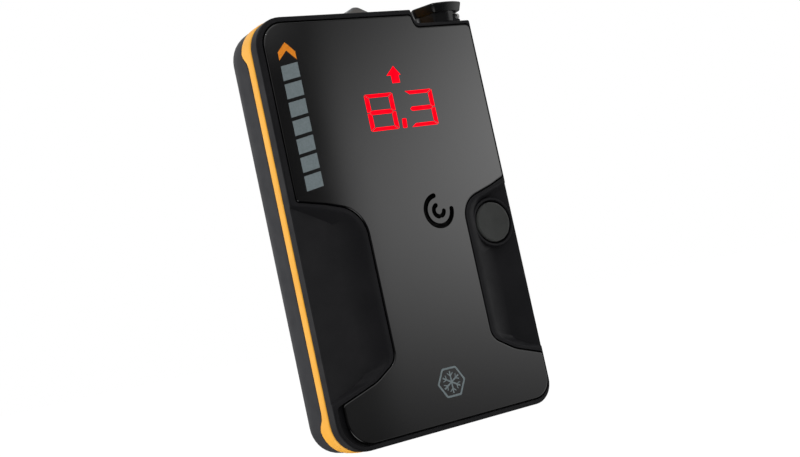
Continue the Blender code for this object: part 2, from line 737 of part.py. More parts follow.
def make_button(cap, seal, switch):
    """The cap over its stem and retaining flange, turned about the button's axis from back to front."""
    tip = 4.6
    outline = [(1.5, tip), (1.5, 3.7), (3.2, 3.7), (3.2, 3.1), (2.3, 3.1), (2.3, 1.3), (BUTTON_RADIUS, 1.3)]
    outline += [(BUTTON_RADIUS, 0.85), (BUTTON_RADIUS - 0.35, 0.55)]
    profile = [(0, tip)] + outline + [(0, 0.55)]
    turned("thumb_button", (BUTTON_X, 0, BUTTON_Z), "y", profile, cap, steps=28)
    ring = [(2.7, 2.6), (2.7, 2.0), (2.45, 2.0), (2.45, 2.6)]
    turned("button_seal", (BUTTON_X, 0, BUTTON_Z), "y", ring, seal, ring=True)
    low = (BUTTON_X - 2.8, 5.3, BUTTON_Z - 2.8)
    box("tact_switch", low, (BUTTON_X + 2.8, 6.0, BUTTON_Z + 2.8), switch)


def make_antenna(name, start, axis, length, radius, ferrite, copper):
    """A ferrite core with its winding, a thick sleeve that leaves the core's ends bare."""
    rod(f"{name}_core", start, axis, length, radius, ferrite)
    inner = radius + 0.2
    outer = radius + 0.9
    margin = length * 0.12
    ring = [(outer, length - margin), (outer, margin), (inner, margin), (inner, length - margin)]
    turned(f"{name}_coil", start, axis, ring, copper, ring=True)


def make_antennas(ferrite, copper):
    make_antenna("long_antenna", (-27.0, 13.2, 22.0), "z", 71.0, 3.2, ferrite, copper)
    make_antenna("cross_antenna", (-20.0, 13.4, 103.0), "x", 36.0, 3.2, ferrite, copper)
    make_antenna("depth_antenna", (4.0, 9.0, 84.0), "y", 10.0, 5.0, ferrite, copper)


# ---------------------------------------------------------------- selector and lock


def knob_ring(corners, z, inset):
    points = rounded_loop(inset_corners(corners, [inset] * len(corners)))
    return [mm(p.x, p.y, z) for p in points]


def make_knob(material):
    """The pointed selector knob on its neck and skirt, bored for the shaft and for the screw in its top."""
    heights = ((114.25, 0.6), (116.6, 0.0), (116.9, 0.3))
    knob = loft("selector_knob", [knob_ring(KNOB_CORNERS, z, inset) for z, inset in heights], material)
    skirt = [knob_ring(SKIRT_CORNERS, 111.3, 0.3), knob_ring(SKIRT_CORNERS, 114.6, 0.0)]
    combine(knob, loft("knob_skirt", skirt), "UNION")
    bores = ((111.0, 3.9, 1.45), (114.0, 3.0, 0.8), (115.4, 3.0, 1.7))
    combine(knob, rod("knob_neck", (SELECTOR_X, SELECTOR_DEPTH, 111.3), "z", 3.6, NECK_RADIUS), "UNION")
    for number, (start, length, radius) in enumerate(bores, 1):
        place = (SELECTOR_X, SELECTOR_DEPTH, start)
        combine(knob, rod(f"knob_bore_{number}", place, "z", length, radius, segments=16))


def make_selector(knob, metal, seal, switch):
    place = (SELECTOR_X, SELECTOR_DEPTH, 0)
    make_knob(knob)
    shaft = [(0, 113.4), (0.8, 113.4), (0.8, 114.7), (SHAFT_RADIUS, 114.7), (SHAFT_RADIUS, 98.5), (0, 98.5)]
    turned("selector_shaft", place, "z", shaft, metal, steps=16)
    screw = [(0, 116.5), (1.4, 116.5), (1.4, 115.6), (0.6, 115.6), (0.6, 113.6), (0, 113.6)]
    turned("selector_screw", place, "z", screw, metal, steps=16)
    ring = [(1.9, 106.2), (1.9, 105.6), (1.35, 105.6), (1.35, 106.2)]
    turned("selector_seal", place, "z", ring, seal, steps=16, ring=True)
    cam = [(1.9, 104.0), (1.9, 103.0), (1.4, 103.0), (1.4, 104.0)]
    turned("selector_cam", place, "z", cam, switch, steps=16, ring=True)
    low = (SELECTOR_X - 4.0, SELECTOR_DEPTH - 2.0, 96.0)
    body = box("selector_switch", low, (SELECTOR_X + 1.9, SELECTOR_DEPTH + 3.0, 102.0), switch)
    bore = rod("switch_bore", (SELECTOR_X, SELECTOR_DEPTH, 98.0), "z", 6, SHAFT_RADIUS + 0.2, segments=16)
    combine(body, bore)


def make_lock(housing, button, metal):
    """A small push button on the shelf that frees the selector: it slides towards the shaft."""
    body = box("lock_housing", (31.1, 3.3, 111.3), (32.7, 5.3, 114.0), housing)
    combine(body, box("lock_base", (32.5, 3.4, 111.35), (34.3, 5.2, 112.15)), "UNION")
    combine(body, box("lock_tail", (32.0, 5.1, 111.35), (32.9, 8.5, 113.9)), "UNION")
    combine(body, rod("lock_bore", (30.5, LOCK_DEPTH, LOCK_Z), "x", 4, 0.55, segments=12))
    profile = [(0, 2.2), (0.6, 2.2), (0.75, 2.05), (0.75, 1.2), (0.4, 1.2), (0.4, 0), (0, 0)]
    turned("lock_button", (32.3, LOCK_DEPTH, LOCK_Z), "x", profile, button, steps=16)
    spring("lock_spring", (32.9, LOCK_DEPTH, LOCK_Z), "x", 0.45, 0.6, 0.6, 2.0, 0.07, metal)


# ---------------------------------------------------------------- the object

clear_scene()
PARTS = make_collection("avalanche_transceiver")
CUTTERS = make_collection("cutters")
CUTTERS.hide_render = True
FRAME = bpy.data.objects.new("device_frame", None)
FRAME.location = mm(0, -CASE_DEPTH / 2, 0)
PARTS.objects.link(FRAME)


def build():
    shell = make_material("shell_plastic", (0.035, 0.036, 0.039), 0.55)
    front = make_material("front_plastic", (0.022, 0.022, 0.024), 0.5)
    gloss = make_material("smoked_plate", (0.012, 0.012, 0.014), 0.12)
    orange = make_material("trim_orange", (0.9, 0.42, 0.06), 0.5)
    grey = make_material("lug_grey", (0.2, 0.2, 0.21), 0.5)
    rubber = make_material("seal_rubber", (0.03, 0.03, 0.03), 0.8)
    steel = make_material("steel", (0.6, 0.6, 0.6), 0.3, 1.0)
    brass = make_material("brass", (0.75, 0.55, 0.25), 0.35, 1.0)
    copper = make_material("copper", (0.7, 0.3, 0.15), 0.4, 1.0)
    ferrite = make_material("ferrite", (0.05, 0.05, 0.055), 0.7)
    board = make_material("board_green", (0.02, 0.18, 0.07), 0.5)
    chip = make_material("chip_black", (0.01, 0.01, 0.01), 0.4)
    white = make_material("display_white", (0.75, 0.75, 0.75), 0.5)
    red = make_material("display_red", (0.9, 0.01, 0.01), 0.4)
    sleeve = make_material("cell_sleeve", (0.1, 0.25, 0.5), 0.35, 0.6)
    pale = make_material("lock_pale", (0.7, 0.7, 0.68), 0.4)
    button = make_material("button_rubber", (0.03, 0.032, 0.03), 0.7)

    make_front_case(front)
    make_face_plate(gloss)
    make_trim_band(orange)
    make_rear_case(shell)
    make_case_gasket(rubber)
    make_case_screws(steel)
    make_leash_lug(grey)

    make_battery_door(shell)
    make_door_gasket(rubber)
    middle = make_cells(sleeve)
    make_contacts(steel, middle)
    make_door_screw(steel)
    make_hinge_pin(steel)

    make_main_board(board)
    make_board_screws(steel)
    make_chips(chip, steel, sleeve)
    make_display(white, red)
    make_speaker(brass, rubber)
    make_button(button, rubber, chip)
    make_antennas(ferrite, copper)
    make_selector(front, steel, rubber, chip)
    make_lock(front, pale, steel)


build()
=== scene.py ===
import json
import math

import bmesh
import bpy
from mathutils import Matrix, Vector


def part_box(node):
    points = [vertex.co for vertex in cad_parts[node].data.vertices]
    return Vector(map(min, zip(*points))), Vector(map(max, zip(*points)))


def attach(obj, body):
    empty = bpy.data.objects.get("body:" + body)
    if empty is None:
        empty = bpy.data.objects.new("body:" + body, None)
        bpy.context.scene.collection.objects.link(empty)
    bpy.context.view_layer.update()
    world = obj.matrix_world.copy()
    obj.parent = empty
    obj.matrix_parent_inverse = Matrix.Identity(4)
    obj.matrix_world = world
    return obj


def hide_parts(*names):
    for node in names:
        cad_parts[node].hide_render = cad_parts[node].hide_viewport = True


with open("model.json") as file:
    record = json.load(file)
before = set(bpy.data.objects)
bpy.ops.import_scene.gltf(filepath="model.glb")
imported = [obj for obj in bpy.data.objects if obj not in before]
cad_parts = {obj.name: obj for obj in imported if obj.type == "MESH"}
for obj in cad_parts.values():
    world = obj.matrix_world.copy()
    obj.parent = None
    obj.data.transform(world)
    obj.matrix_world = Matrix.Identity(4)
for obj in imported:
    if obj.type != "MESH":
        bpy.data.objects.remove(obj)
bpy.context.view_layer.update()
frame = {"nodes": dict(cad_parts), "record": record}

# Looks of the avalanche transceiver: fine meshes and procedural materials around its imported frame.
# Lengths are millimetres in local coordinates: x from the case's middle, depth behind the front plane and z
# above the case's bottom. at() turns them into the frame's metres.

MM = 0.001

# ---------------------------------------------------------------- sizes from the frame

CASE_LOW, CASE_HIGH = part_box("front_case")
FRONT_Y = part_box("face_plate")[0].y
CENTRE_X = (CASE_LOW.x + CASE_HIGH.x) / 2
WIDTH = (CASE_HIGH.x - CASE_LOW.x) / MM
HEIGHT = (CASE_HIGH.z - CASE_LOW.z) / MM
THICKNESS = (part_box("rear_case")[1].y - FRONT_Y) / MM
SIDE = WIDTH / 2


def at(x, depth, z):
    return Vector((CENTRE_X + x * MM, FRONT_Y + depth * MM, CASE_LOW.z + z * MM))


def local_box(node):
    """A CAD node's box in local millimetres."""
    low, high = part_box(node)
    base = at(0, 0, 0)
    return (low - base) / MM, (high - base) / MM


def local_middle(node):
    low, high = local_box(node)
    return (low + high) / 2


BUTTON = local_middle("thumb_button")
SHAFT = local_middle("selector_shaft")
KNOB_LOW, KNOB_HIGH = local_box("selector_knob")
SPEAKER = local_middle("piezo_speaker")
BAND_LOW, BAND_HIGH = local_box("trim_band")
DOOR_LOW, DOOR_HIGH = local_box("battery_door")
DOOR_SCREW = local_middle("door_screw")
HINGE = local_middle("door_hinge_pin")
SCREWS = [local_middle(f"case_screw_{n}") for n in (1, 2, 3, 4)]

SHELF = 111.0  # height of the step under the selector
SHELF_START = 16.4  # x where that step begins
BAND_REAR = 6.95  # depth of the trim band's rear edge along the straight sides
SEAM = 0.1  # gap between the trim band and the rear case
REAR_SIDE_RADIUS = 11.0
REAR_TOP_RADIUS = 8.0
REAR_BOTTOM_RADIUS = 5.0
WALL = 2.0
PIN_HOLE = 0.5  # radius of the hole for the door's hinge pin
RIM_INSET = 3.8  # thick rim of the rear case behind the trim band
RIM_BACK = 10.3
PLATE_BACK = 1.0
FRONT_BACK = 3.62
PLATE_GAP = 0.3

# Grip scoops to the left (-1) and right (1) of SCOOP_MIDDLE. Each curve has a lower and an upper run.
# A run is its inner corner and its bend, both (distance from SCOOP_MIDDLE, z, radius), and then its slope
# beyond the bend.
SCOOP_MIDDLE = 2.4
SCOOP_EDGE = {
    -1: (((16.0, 20.8, 4.5), (22.9, 16.5, 14.0), -0.32), ((16.0, 61.3, 9.0), (27.0, 64.5, 20.0), 0.2)),
    1: (((16.0, 20.8, 4.5), (22.9, 16.5, 14.0), -0.32), ((16.0, 59.5, 7.0), (27.0, 62.85, 20.0), 0.4)),
}
SCOOP_CREASE = (
    ((24.4, 19.4, 3.0), (29.0, 16.9, 8.0), -0.36),
    ((24.4, 58.7, 3.0), (30.0, 61.5, 8.0), 0.45),
)
SCOOP_DEPTH = 2.25
SCOOP_SIDE_DEPTH = 0.7
SCOOP_RIDGE = 0.95
SCOOP_ROUNDING = 1.6
FACE_DEPTH = 0.12  # depth of the front case's face

PLATE_LEFT = -32.8
PLATE_RIGHT = 34.4
TAB_LEFT = -31.8
TAB_POCKET_LEFT = -33.45

KNOB_CORNERS = (  # seen from above, as x, depth and radius
    (24.0, 1.3, 1.6),
    (29.0, -0.35, 12.0),
    (34.05, 1.2, 0.6),
    (35.0, 7.5, 4.0),
    (32.0, 13.6, 3.0),
    (24.5, 13.6, 4.0),
    (20.8, 7.6, 2.0),
)
SKIRT_CORNERS = (  # below the knob's pointed side
    (24.5, 2.4, 1.6),
    (28.6, 0.9, 4.0),
    (30.8, 1.3, 0.5),
    (29.6, 6.0, 0.4),
    (25.4, 11.3, 0.6),
    (22.0, 7.5, 1.8),
)

LOCK_RISE = 0.2  # how far the fine lock button sits above the CAD's

# ---------------------------------------------------------------- material nodes


class Nodes:
    """Short helpers for one material's node tree."""

    def __init__(self, name):
        self.material = bpy.data.materials.new(name)
        self.material.use_nodes = True
        self.tree = self.material.node_tree
        self.shader = self.tree.nodes["Principled BSDF"]
        self.coordinates = self.tree.nodes.new("ShaderNodeTexCoord").outputs["Object"]

    def add(self, kind, **settings):
        node = self.tree.nodes.new(kind)
        for key, value in settings.items():
            setattr(node, key, value)
        return node

    def link(self, output, target):
        self.tree.links.new(output, target)

    def set(self, **values):
        for key, value in values.items():
            self.shader.inputs[key.replace("_", " ")].default_value = value

    def noise(self, scale, detail=3.0, roughness=0.55, stretch=(1, 1, 1)):
        mapping = self.add("ShaderNodeMapping")
        mapping.inputs["Scale"].default_value = stretch
        self.link(self.coordinates, mapping.inputs["Vector"])
        node = self.add("ShaderNodeTexNoise")
        node.inputs["Scale"].default_value = scale
        node.inputs["Detail"].default_value = detail
        node.inputs["Roughness"].default_value = roughness
        self.link(mapping.outputs["Vector"], node.inputs["Vector"])
        return node.outputs["Fac"]

    def ramp(self, factor, stops):
        """Colours or numbers along a factor; stops are (place, colour or number)."""
        node = self.add("ShaderNodeValToRGB")
        elements = node.color_ramp.elements
        while len(elements) < len(stops):
            elements.new(0.5)
        for element, (place, value) in zip(elements, stops):
            colour = value if isinstance(value, tuple) else (value, value, value)
            element.position = place
            element.color = (*colour, 1.0)
        self.link(factor, node.inputs["Fac"])
        return node.outputs["Color"]

    def mottle(self, scale, detail, dark, light):
        """Colours or numbers that wander between two values with a noise."""
        return self.ramp(self.noise(scale, detail), [(0.3, dark), (0.7, light)])

    def colour(self, output):
        self.link(output, self.shader.inputs["Base Color"])

    def roughness(self, output):
        self.link(output, self.shader.inputs["Roughness"])

    def bump(self, height, strength, distance, below=None):
        node = self.add("ShaderNodeBump")
        node.inputs["Strength"].default_value = strength
        node.inputs["Distance"].default_value = distance
        self.link(height, node.inputs["Height"])
        if below is not None:
            self.link(below, node.inputs["Normal"])
        self.link(node.outputs["Normal"], self.shader.inputs["Normal"])
        return node.outputs["Normal"]


def moulded_plastic(name, dark, light, rough, grain=0.35, specular=0.5):
    """Spark-eroded plastic: a fine grain over a very soft unevenness."""
    nodes = Nodes(name)
    nodes.set(Specular_IOR_Level=specular)
    nodes.colour(nodes.mottle(90, 4, dark, light))
    nodes.roughness(nodes.mottle(260, 3, rough - 0.05, rough + 0.06))
    soft = nodes.bump(nodes.noise(420, 2), grain * 0.5, 0.00012)
    nodes.bump(nodes.noise(2600, 2), grain, 0.00004, soft)
    return nodes.material


def smoked_gloss():
    """The face plate: nearly black, glossy, with faint handling marks in its gloss."""
    nodes = Nodes("smoked_gloss")
    nodes.set(Specular_IOR_Level=0.5, IOR=1.5)
    nodes.colour(nodes.mottle(30, 2, (0.003, 0.003, 0.0032), (0.0042, 0.004, 0.0044)))
    marks = nodes.noise(55, 5, 0.6, (1, 1, 0.5))
    nodes.roughness(nodes.ramp(marks, [(0.35, 0.06), (0.75, 0.09)]))
    nodes.bump(nodes.noise(700, 2), 0.02, 0.00001)
    return nodes.material


def trim_orange():
    nodes = Nodes("trim_orange")
    nodes.set(Specular_IOR_Level=0.25)
    nodes.colour(nodes.mottle(120, 3, (0.88, 0.405, 0.03), (0.93, 0.45, 0.042)))
    nodes.roughness(nodes.mottle(500, 2, 0.42, 0.52))
    nodes.bump(nodes.noise(2200, 2), 0.2, 0.00004)
    return nodes.material


def soft_rubber(name, dark, light, rough=0.78):
    nodes = Nodes(name)
    nodes.set(Specular_IOR_Level=0.35, Sheen_Weight=0.15)
    nodes.colour(nodes.mottle(150, 4, dark, light))
    nodes.roughness(nodes.mottle(600, 3, rough - 0.06, rough + 0.08))
    nodes.bump(nodes.noise(3200, 2), 0.45, 0.00005)
    return nodes.material


def printed_ink(name, dark, light):
    """Screen-printed ink with a slightly open edge and grain."""
    nodes = Nodes(name)
    nodes.set(Specular_IOR_Level=0.15)
    nodes.colour(nodes.mottle(1800, 3, dark, light))
    nodes.roughness(nodes.mottle(900, 2, 0.4, 0.55))
    nodes.bump(nodes.noise(2600, 2), 0.2, 0.00002)
    return nodes.material


def lit_segment():
    """A lit light guide seen through the plate: its glow falls off a little across each bar."""
    nodes = Nodes("lit_segment")
    glow = nodes.ramp(nodes.noise(450, 2), [(0.25, (0.86, 0.0, 0.006)), (0.75, (1.0, 0.002, 0.012))])
    nodes.colour(glow)
    nodes.link(glow, nodes.shader.inputs["Emission Color"])
    nodes.set(Emission_Strength=1.0, Roughness=0.5, Specular_IOR_Level=0.0)
    return nodes.material


def brushed_metal(name, dark, light, rough, stretch=(1, 1, 18)):
    nodes = Nodes(name)
    nodes.set(Metallic=1.0)
    grain = nodes.noise(900, 4, 0.6, stretch)
    nodes.colour(nodes.ramp(grain, [(0.3, dark), (0.7, light)]))
    nodes.roughness(nodes.ramp(grain, [(0.3, rough - 0.06), (0.7, rough + 0.08)]))
    nodes.bump(grain, 0.12, 0.00003)
    return nodes.material


def wound_copper():
    """Enamelled wire: fine rings of turns over the coil."""
    nodes = Nodes("wound_copper")
    nodes.set(Metallic=0.9)
    wave = nodes.add("ShaderNodeTexWave", wave_type="BANDS", bands_direction="DIAGONAL")
    wave.inputs["Scale"].default_value = 900
    wave.inputs["Distortion"].default_value = 0.4
    nodes.link(nodes.coordinates, wave.inputs["Vector"])
    nodes.colour(nodes.ramp(wave.outputs["Fac"], [(0.0, (0.28, 0.08, 0.025)), (1.0, (0.72, 0.27, 0.1))]))
    nodes.roughness(nodes.ramp(wave.outputs["Fac"], [(0.0, 0.5), (1.0, 0.3)]))
    nodes.bump(wave.outputs["Fac"], 0.5, 0.0001)
    return nodes.material


def circuit_board():
    """Solder mask with paler traces under it."""
    nodes = Nodes("circuit_board")
    cells = nodes.add("ShaderNodeTexVoronoi", feature="DISTANCE_TO_EDGE")
    cells.inputs["Scale"].default_value = 260
    nodes.link(nodes.coordinates, cells.inputs["Vector"])
    traces = [(0.0, (0.05, 0.32, 0.12)), (0.05, (0.05, 0.3, 0.11)), (0.07, (0.012, 0.12, 0.045))]
    nodes.colour(nodes.ramp(cells.outputs["Distance"], traces))
    nodes.roughness(nodes.mottle(400, 2, 0.3, 0.42))
    nodes.bump(cells.outputs["Distance"], 0.15, 0.00003)
    return nodes.material


def cell_sleeve():
    """A battery's shrink sleeve: a dark body with a copper-coloured band near its top."""
    nodes = Nodes("cell_sleeve")
    nodes.set(Metallic=0.55)
    low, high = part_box("battery_cell_1")
    split = nodes.add("ShaderNodeSeparateXYZ")
    nodes.link(nodes.coordinates, split.inputs["Vector"])
    share = nodes.add("ShaderNodeMapRange")
    share.inputs["From Min"].default_value = low.z
    share.inputs["From Max"].default_value = high.z
    nodes.link(split.outputs["Z"], share.inputs["Value"])
    bands = [(0.0, (0.45, 0.45, 0.45)), (0.02, (0.02, 0.025, 0.04)), (0.74, (0.02, 0.025, 0.04))]
    bands += [(0.75, (0.62, 0.33, 0.12)), (0.965, (0.62, 0.33, 0.12)), (0.975, (0.55, 0.55, 0.55))]
    ramp = nodes.ramp(share.outputs["Result"], bands)
    nodes.colour(ramp)
    nodes.roughness(nodes.mottle(300, 3, 0.28, 0.38))
    nodes.bump(nodes.noise(500, 2), 0.08, 0.00004)
    return nodes.material


def speckled(name, dark, light, rough, scale=1200, metallic=0.0):
    """Sintered, moulded or diffusing matter with a visible grain."""
    nodes = Nodes(name)
    nodes.set(Metallic=metallic)
    grain = nodes.noise(scale, 4, 0.65)
    nodes.colour(nodes.ramp(grain, [(0.3, dark), (0.7, light)]))
    nodes.roughness(nodes.ramp(grain, [(0.3, rough - 0.07), (0.7, rough + 0.08)]))
    nodes.bump(grain, 0.2, 0.00004)
    return nodes.material


MATERIALS = {
    "front_plastic": moulded_plastic(
        "front_plastic", (0.0078, 0.0078, 0.009), (0.0115, 0.0113, 0.0127), 0.5, specular=0.1
    ),
    "shell_plastic": moulded_plastic(
        "shell_plastic", (0.02, 0.0205, 0.0235), (0.027, 0.0275, 0.031), 0.52, specular=0.1
    ),
    "knob_plastic": moulded_plastic(
        "knob_plastic", (0.004, 0.004, 0.0045), (0.006, 0.006, 0.0065), 0.3, grain=0.2, specular=0.3
    ),
    "smoked_plate": smoked_gloss(),
    "trim_orange": trim_orange(),
    "button_rubber": soft_rubber("button_rubber", (0.022, 0.0235, 0.022), (0.032, 0.034, 0.032)),
    "seal_rubber": soft_rubber("seal_rubber", (0.012, 0.012, 0.012), (0.022, 0.022, 0.022)),
    "lug_grey": moulded_plastic("lug_grey", (0.10, 0.105, 0.11), (0.14, 0.145, 0.15), 0.45),
    "lock_pale": moulded_plastic("lock_pale", (0.52, 0.52, 0.5), (0.62, 0.62, 0.6), 0.4, 0.2),
    "ink_grey": printed_ink("ink_grey", (0.17, 0.21, 0.22), (0.215, 0.255, 0.27)),
    "ink_orange": printed_ink("ink_orange", (0.9, 0.26, 0.012), (1.0, 0.32, 0.02)),
    "display_red": lit_segment(),
    "display_white": speckled("display_white", (0.6, 0.6, 0.6), (0.72, 0.72, 0.72), 0.5),
    "steel": brushed_metal("steel", (0.42, 0.42, 0.43), (0.62, 0.62, 0.62), 0.32),
    "brass": brushed_metal("brass", (0.55, 0.38, 0.14), (0.76, 0.56, 0.26), 0.35, (1, 1, 1)),
    "copper": wound_copper(),
    "ferrite": speckled("ferrite", (0.012, 0.012, 0.013), (0.03, 0.03, 0.032), 0.6),
    "board_green": circuit_board(),
    "chip_black": speckled("chip_black", (0.006, 0.006, 0.006), (0.014, 0.014, 0.014), 0.45),
    "cell_sleeve": cell_sleeve(),
}

# ---------------------------------------------------------------- outlines


def inset_corners(corners, insets):
    """Moves each edge of a counter-clockwise outline inwards. Edge i runs from corner i to the next."""
    count = len(corners)
    lines = []
    for i in range(count):
        start = Vector(corners[i][:2])
        along = (Vector(corners[(i + 1) % count][:2]) - start).normalized()
        inward = Vector((-along.y, along.x))
        lines.append((start + inward * insets[i], along))
    moved = []
    for i in range(count):
        (a, along_a), (b, along_b) = lines[i - 1], lines[i]
        cross = along_a.x * along_b.y - along_a.y * along_b.x
        reach = ((b.x - a.x) * along_b.y - (b.y - a.y) * along_b.x) / cross
        corner = a + along_a * reach
        mean = (insets[i - 1] + insets[i]) / 2
        radius = corners[i][2]
        radius = max(radius - 0.45 * mean, 0.5) if cross > 0 else radius + 0.6 * mean
        moved.append((corner.x, corner.y, radius))
    return moved


def rounded_loop(corners, arc_steps=10, splits=None):
    """Points of an outline of (x, z, radius) corners. splits counts the pieces of each straight edge."""
    arcs = []
    count = len(corners)
    for i in range(count):
        corner = Vector(corners[i][:2])
        radius = corners[i][2]
        back = (Vector(corners[i - 1][:2]) - corner).normalized()
        ahead = (Vector(corners[(i + 1) % count][:2]) - corner).normalized()
        half = back.angle(ahead) / 2
        centre = corner + (back + ahead).normalized() * radius / math.sin(half)
        first = corner + back * radius / math.tan(half) - centre
        last = corner + ahead * radius / math.tan(half) - centre
        sweep = first.angle_signed(last)
        turns = [Matrix.Rotation(-sweep * step / arc_steps, 2) for step in range(arc_steps + 1)]
        arcs.append([centre + turn @ first for turn in turns])
    points = []
    for i, arc in enumerate(arcs):
        points += arc
        start, end = arc[-1], arcs[(i + 1) % count][0]
        pieces = splits[i] if splits else 1
        points += [start.lerp(end, step / pieces) for step in range(1, pieces)]
    return points


def case_corners():
    return [
        (-SIDE, 0, 8.5),
        (SIDE, 0, 6.0),
        (SIDE, SHELF, 0.5),
        (SHELF_START, SHELF, 1.7),
        (SHELF_START - 1.1, HEIGHT, 0.5),
        (-SIDE, HEIGHT, 8.5),
    ]


CASE_SPLITS = [30, 60, 10, 2, 24, 60]


def case_loop(side, bottom=None, top=None):
    bottom = side if bottom is None else bottom
    top = side if top is None else top
    moved = inset_corners(case_corners(), [bottom, side, top, top, top, side])
    return rounded_loop(moved, 10, CASE_SPLITS)


def scoop_run(side, curve, low_x, high_x):
    """The corners along a scoop's curve from the bottom up. It starts at low_x and ends at high_x."""
    ends = []
    for (_, bend, slope), x in zip(curve, (low_x, high_x)):
        away = abs(x - SCOOP_MIDDLE)
        ends.append((away, bend[1] + slope * (away - bend[0]), 0.8))
    (low_inner, low_bend, _), (high_inner, high_bend, _) = curve
    corners = [ends[0], low_bend, low_inner, high_inner, high_bend, ends[1]]
    return [(SCOOP_MIDDLE + side * away, z, radius) for away, z, radius in corners]


def plate_corners(grow, tab_left=TAB_LEFT):
    corners = [(tab_left, 1.6, 7.0), (PLATE_RIGHT, 1.6, 5.5)]
    corners += scoop_run(1, SCOOP_EDGE[1], PLATE_RIGHT, PLATE_RIGHT)
    corners += [
        (PLATE_RIGHT, SHELF - 1.3, 1.4),
        (SHELF_START - 0.9, SHELF - 1.3, 2.2),
        (SHELF_START - 1.7, HEIGHT - 1.7, 0.8),
        (PLATE_LEFT, HEIGHT - 1.7, 6.3),
    ]
    corners += scoop_run(-1, SCOOP_EDGE[-1], tab_left, PLATE_LEFT)[::-1]
    return inset_corners(corners, [-grow] * len(corners))


def arc_slot(x, z, radius, width, start_deg, end_deg, steps=40):
    """The outline of a slot that follows an arc and has round ends."""
    turns = [math.radians(start_deg + (end_deg - start_deg) * i / steps) for i in range(steps + 1)]
    ends = [math.pi * i / 6 for i in range(1, 6)]
    half = width / 2

    def polar(reach, turn):
        return Vector((x + reach * math.cos(turn), z + reach * math.sin(turn)))

    def end_cap(turn, start):
        middle = polar(radius, turn)
        return [middle + Vector((math.cos(start + e), math.sin(start + e))) * half for e in ends]

    outer = [polar(radius + half, turn) for turn in turns]
    inner = [polar(radius - half, turn) for turn in reversed(turns)]
    return outer + end_cap(turns[-1], turns[-1]) + inner + end_cap(turns[0], turns[0] + math.pi)


# ---------------------------------------------------------------- mesh helpers


def object_from(name, shape):
    bmesh.ops.recalc_face_normals(shape, faces=shape.faces)
    mesh = bpy.data.meshes.new(name)
    shape.to_mesh(mesh)
    shape.free()
    obj = bpy.data.objects.new(name, mesh)
    bpy.context.scene.collection.objects.link(obj)
    return obj


def loft(name, rings, closed=False):
    """A body through rings of points in the frame. A closed one joins its last ring to its first."""
    shape = bmesh.new()
    rows = [[shape.verts.new(point) for point in ring] for ring in rings]
    pairs = list(zip(rows, rows[1:] + rows[:1])) if closed else list(zip(rows, rows[1:]))
    for lower, upper in pairs:
        for i in range(len(lower)):
            shape.faces.new((lower[i - 1], lower[i], upper[i], upper[i - 1]))
    if not closed:
        shape.faces.new(rows[0])
        shape.faces.new(rows[-1])
    return object_from(name, shape)


def level(points, depth):
    """Outline points at one depth."""
    return [at(p.x, depth, p.y) for p in points]


def outline_loft(name, make_points, profile):
    """A body whose outline changes with depth: profile holds (inset, depth)."""
    return loft(name, [level(make_points(inset), depth) for inset, depth in profile])


def quarter(radius, front, steps=6):
    """(inset, depth) pairs of an edge that is rounded towards the front."""
    turns = [math.pi / 2 * i / steps for i in range(steps + 1)]
    return [(radius * (1 - math.sin(t)), front + radius * (1 - math.cos(t))) for t in turns]


TURNS = {
    "x": Matrix.Rotation(math.radians(90), 3, "Y"),
    "y": Matrix.Rotation(math.radians(-90), 3, "X"),
    "z": Matrix.Identity(3),
}


def turned(name, middle, axis, profile, steps=64):
    """A body turned about an axis from (radius, height) points, or a ring if its ends have a radius."""
    solid = profile[0][0] == 0
    base = at(*middle)
    turn = TURNS[axis]
    shape = bmesh.new()
    rows = []
    for radius, height in profile:
        if radius == 0:
            rows.append([shape.verts.new(base + turn @ Vector((0, 0, height * MM)))])
            continue
        angles = [2 * math.pi * i / steps for i in range(steps)]
        spots = [Vector((radius * math.cos(a), radius * math.sin(a), height)) * MM for a in angles]
        rows.append([shape.verts.new(base + turn @ spot) for spot in spots])
    pairs = list(zip(rows, rows[1:])) if solid else list(zip(rows, rows[1:] + rows[:1]))
    for lower, upper in pairs:
        for i in range(steps):
            corners = [lower[(i - 1) % len(lower)], lower[i % len(lower)]]
            corners += [upper[i % len(upper)], upper[(i - 1) % len(upper)]]
            unique = list(dict.fromkeys(corners))
            shape.faces.new(unique)
    return object_from(name, shape)


def drill(target, middle, axis, radius, low, high, steps=32):
    """Cuts a round hole between two heights along an axis."""
    profile = [(0, high), (radius, high), (radius, low), (0, low)]
    combine(target, turned("drill", middle, axis, profile, steps))


def block(name, low, high, bevel=0.0, segments=3):
    """A block between two local corners, with rounded edges."""
    shape = bmesh.new()
    bmesh.ops.create_cube(shape, size=1.0)
    size = Vector(high) - Vector(low)
    middle = (Vector(high) + Vector(low)) / 2
    for vert in shape.verts:
        vert.co = at(*[middle[i] + vert.co[i] * size[i] for i in range(3)])
    if bevel:
        bmesh.ops.bevel(
            shape, geom=shape.edges[:], offset=bevel * MM, segments=segments, profile=0.5, affect="EDGES"
        )
    return object_from(name, shape)


def curve_surface(curve):
    """The surface that a curve makes, with its doubled points merged. The curve itself goes."""
    guide = bpy.data.objects.new("guide", curve)
    bpy.context.scene.collection.objects.link(guide)
    graph = bpy.context.evaluated_depsgraph_get()
    mesh = bpy.data.meshes.new_from_object(guide.evaluated_get(graph))
    bpy.data.objects.remove(guide)
    bpy.data.curves.remove(curve)
    shape = bmesh.new()
    shape.from_mesh(mesh)
    bpy.data.meshes.remove(mesh)
    bmesh.ops.remove_doubles(shape, verts=shape.verts, dist=0.000001)
    return shape


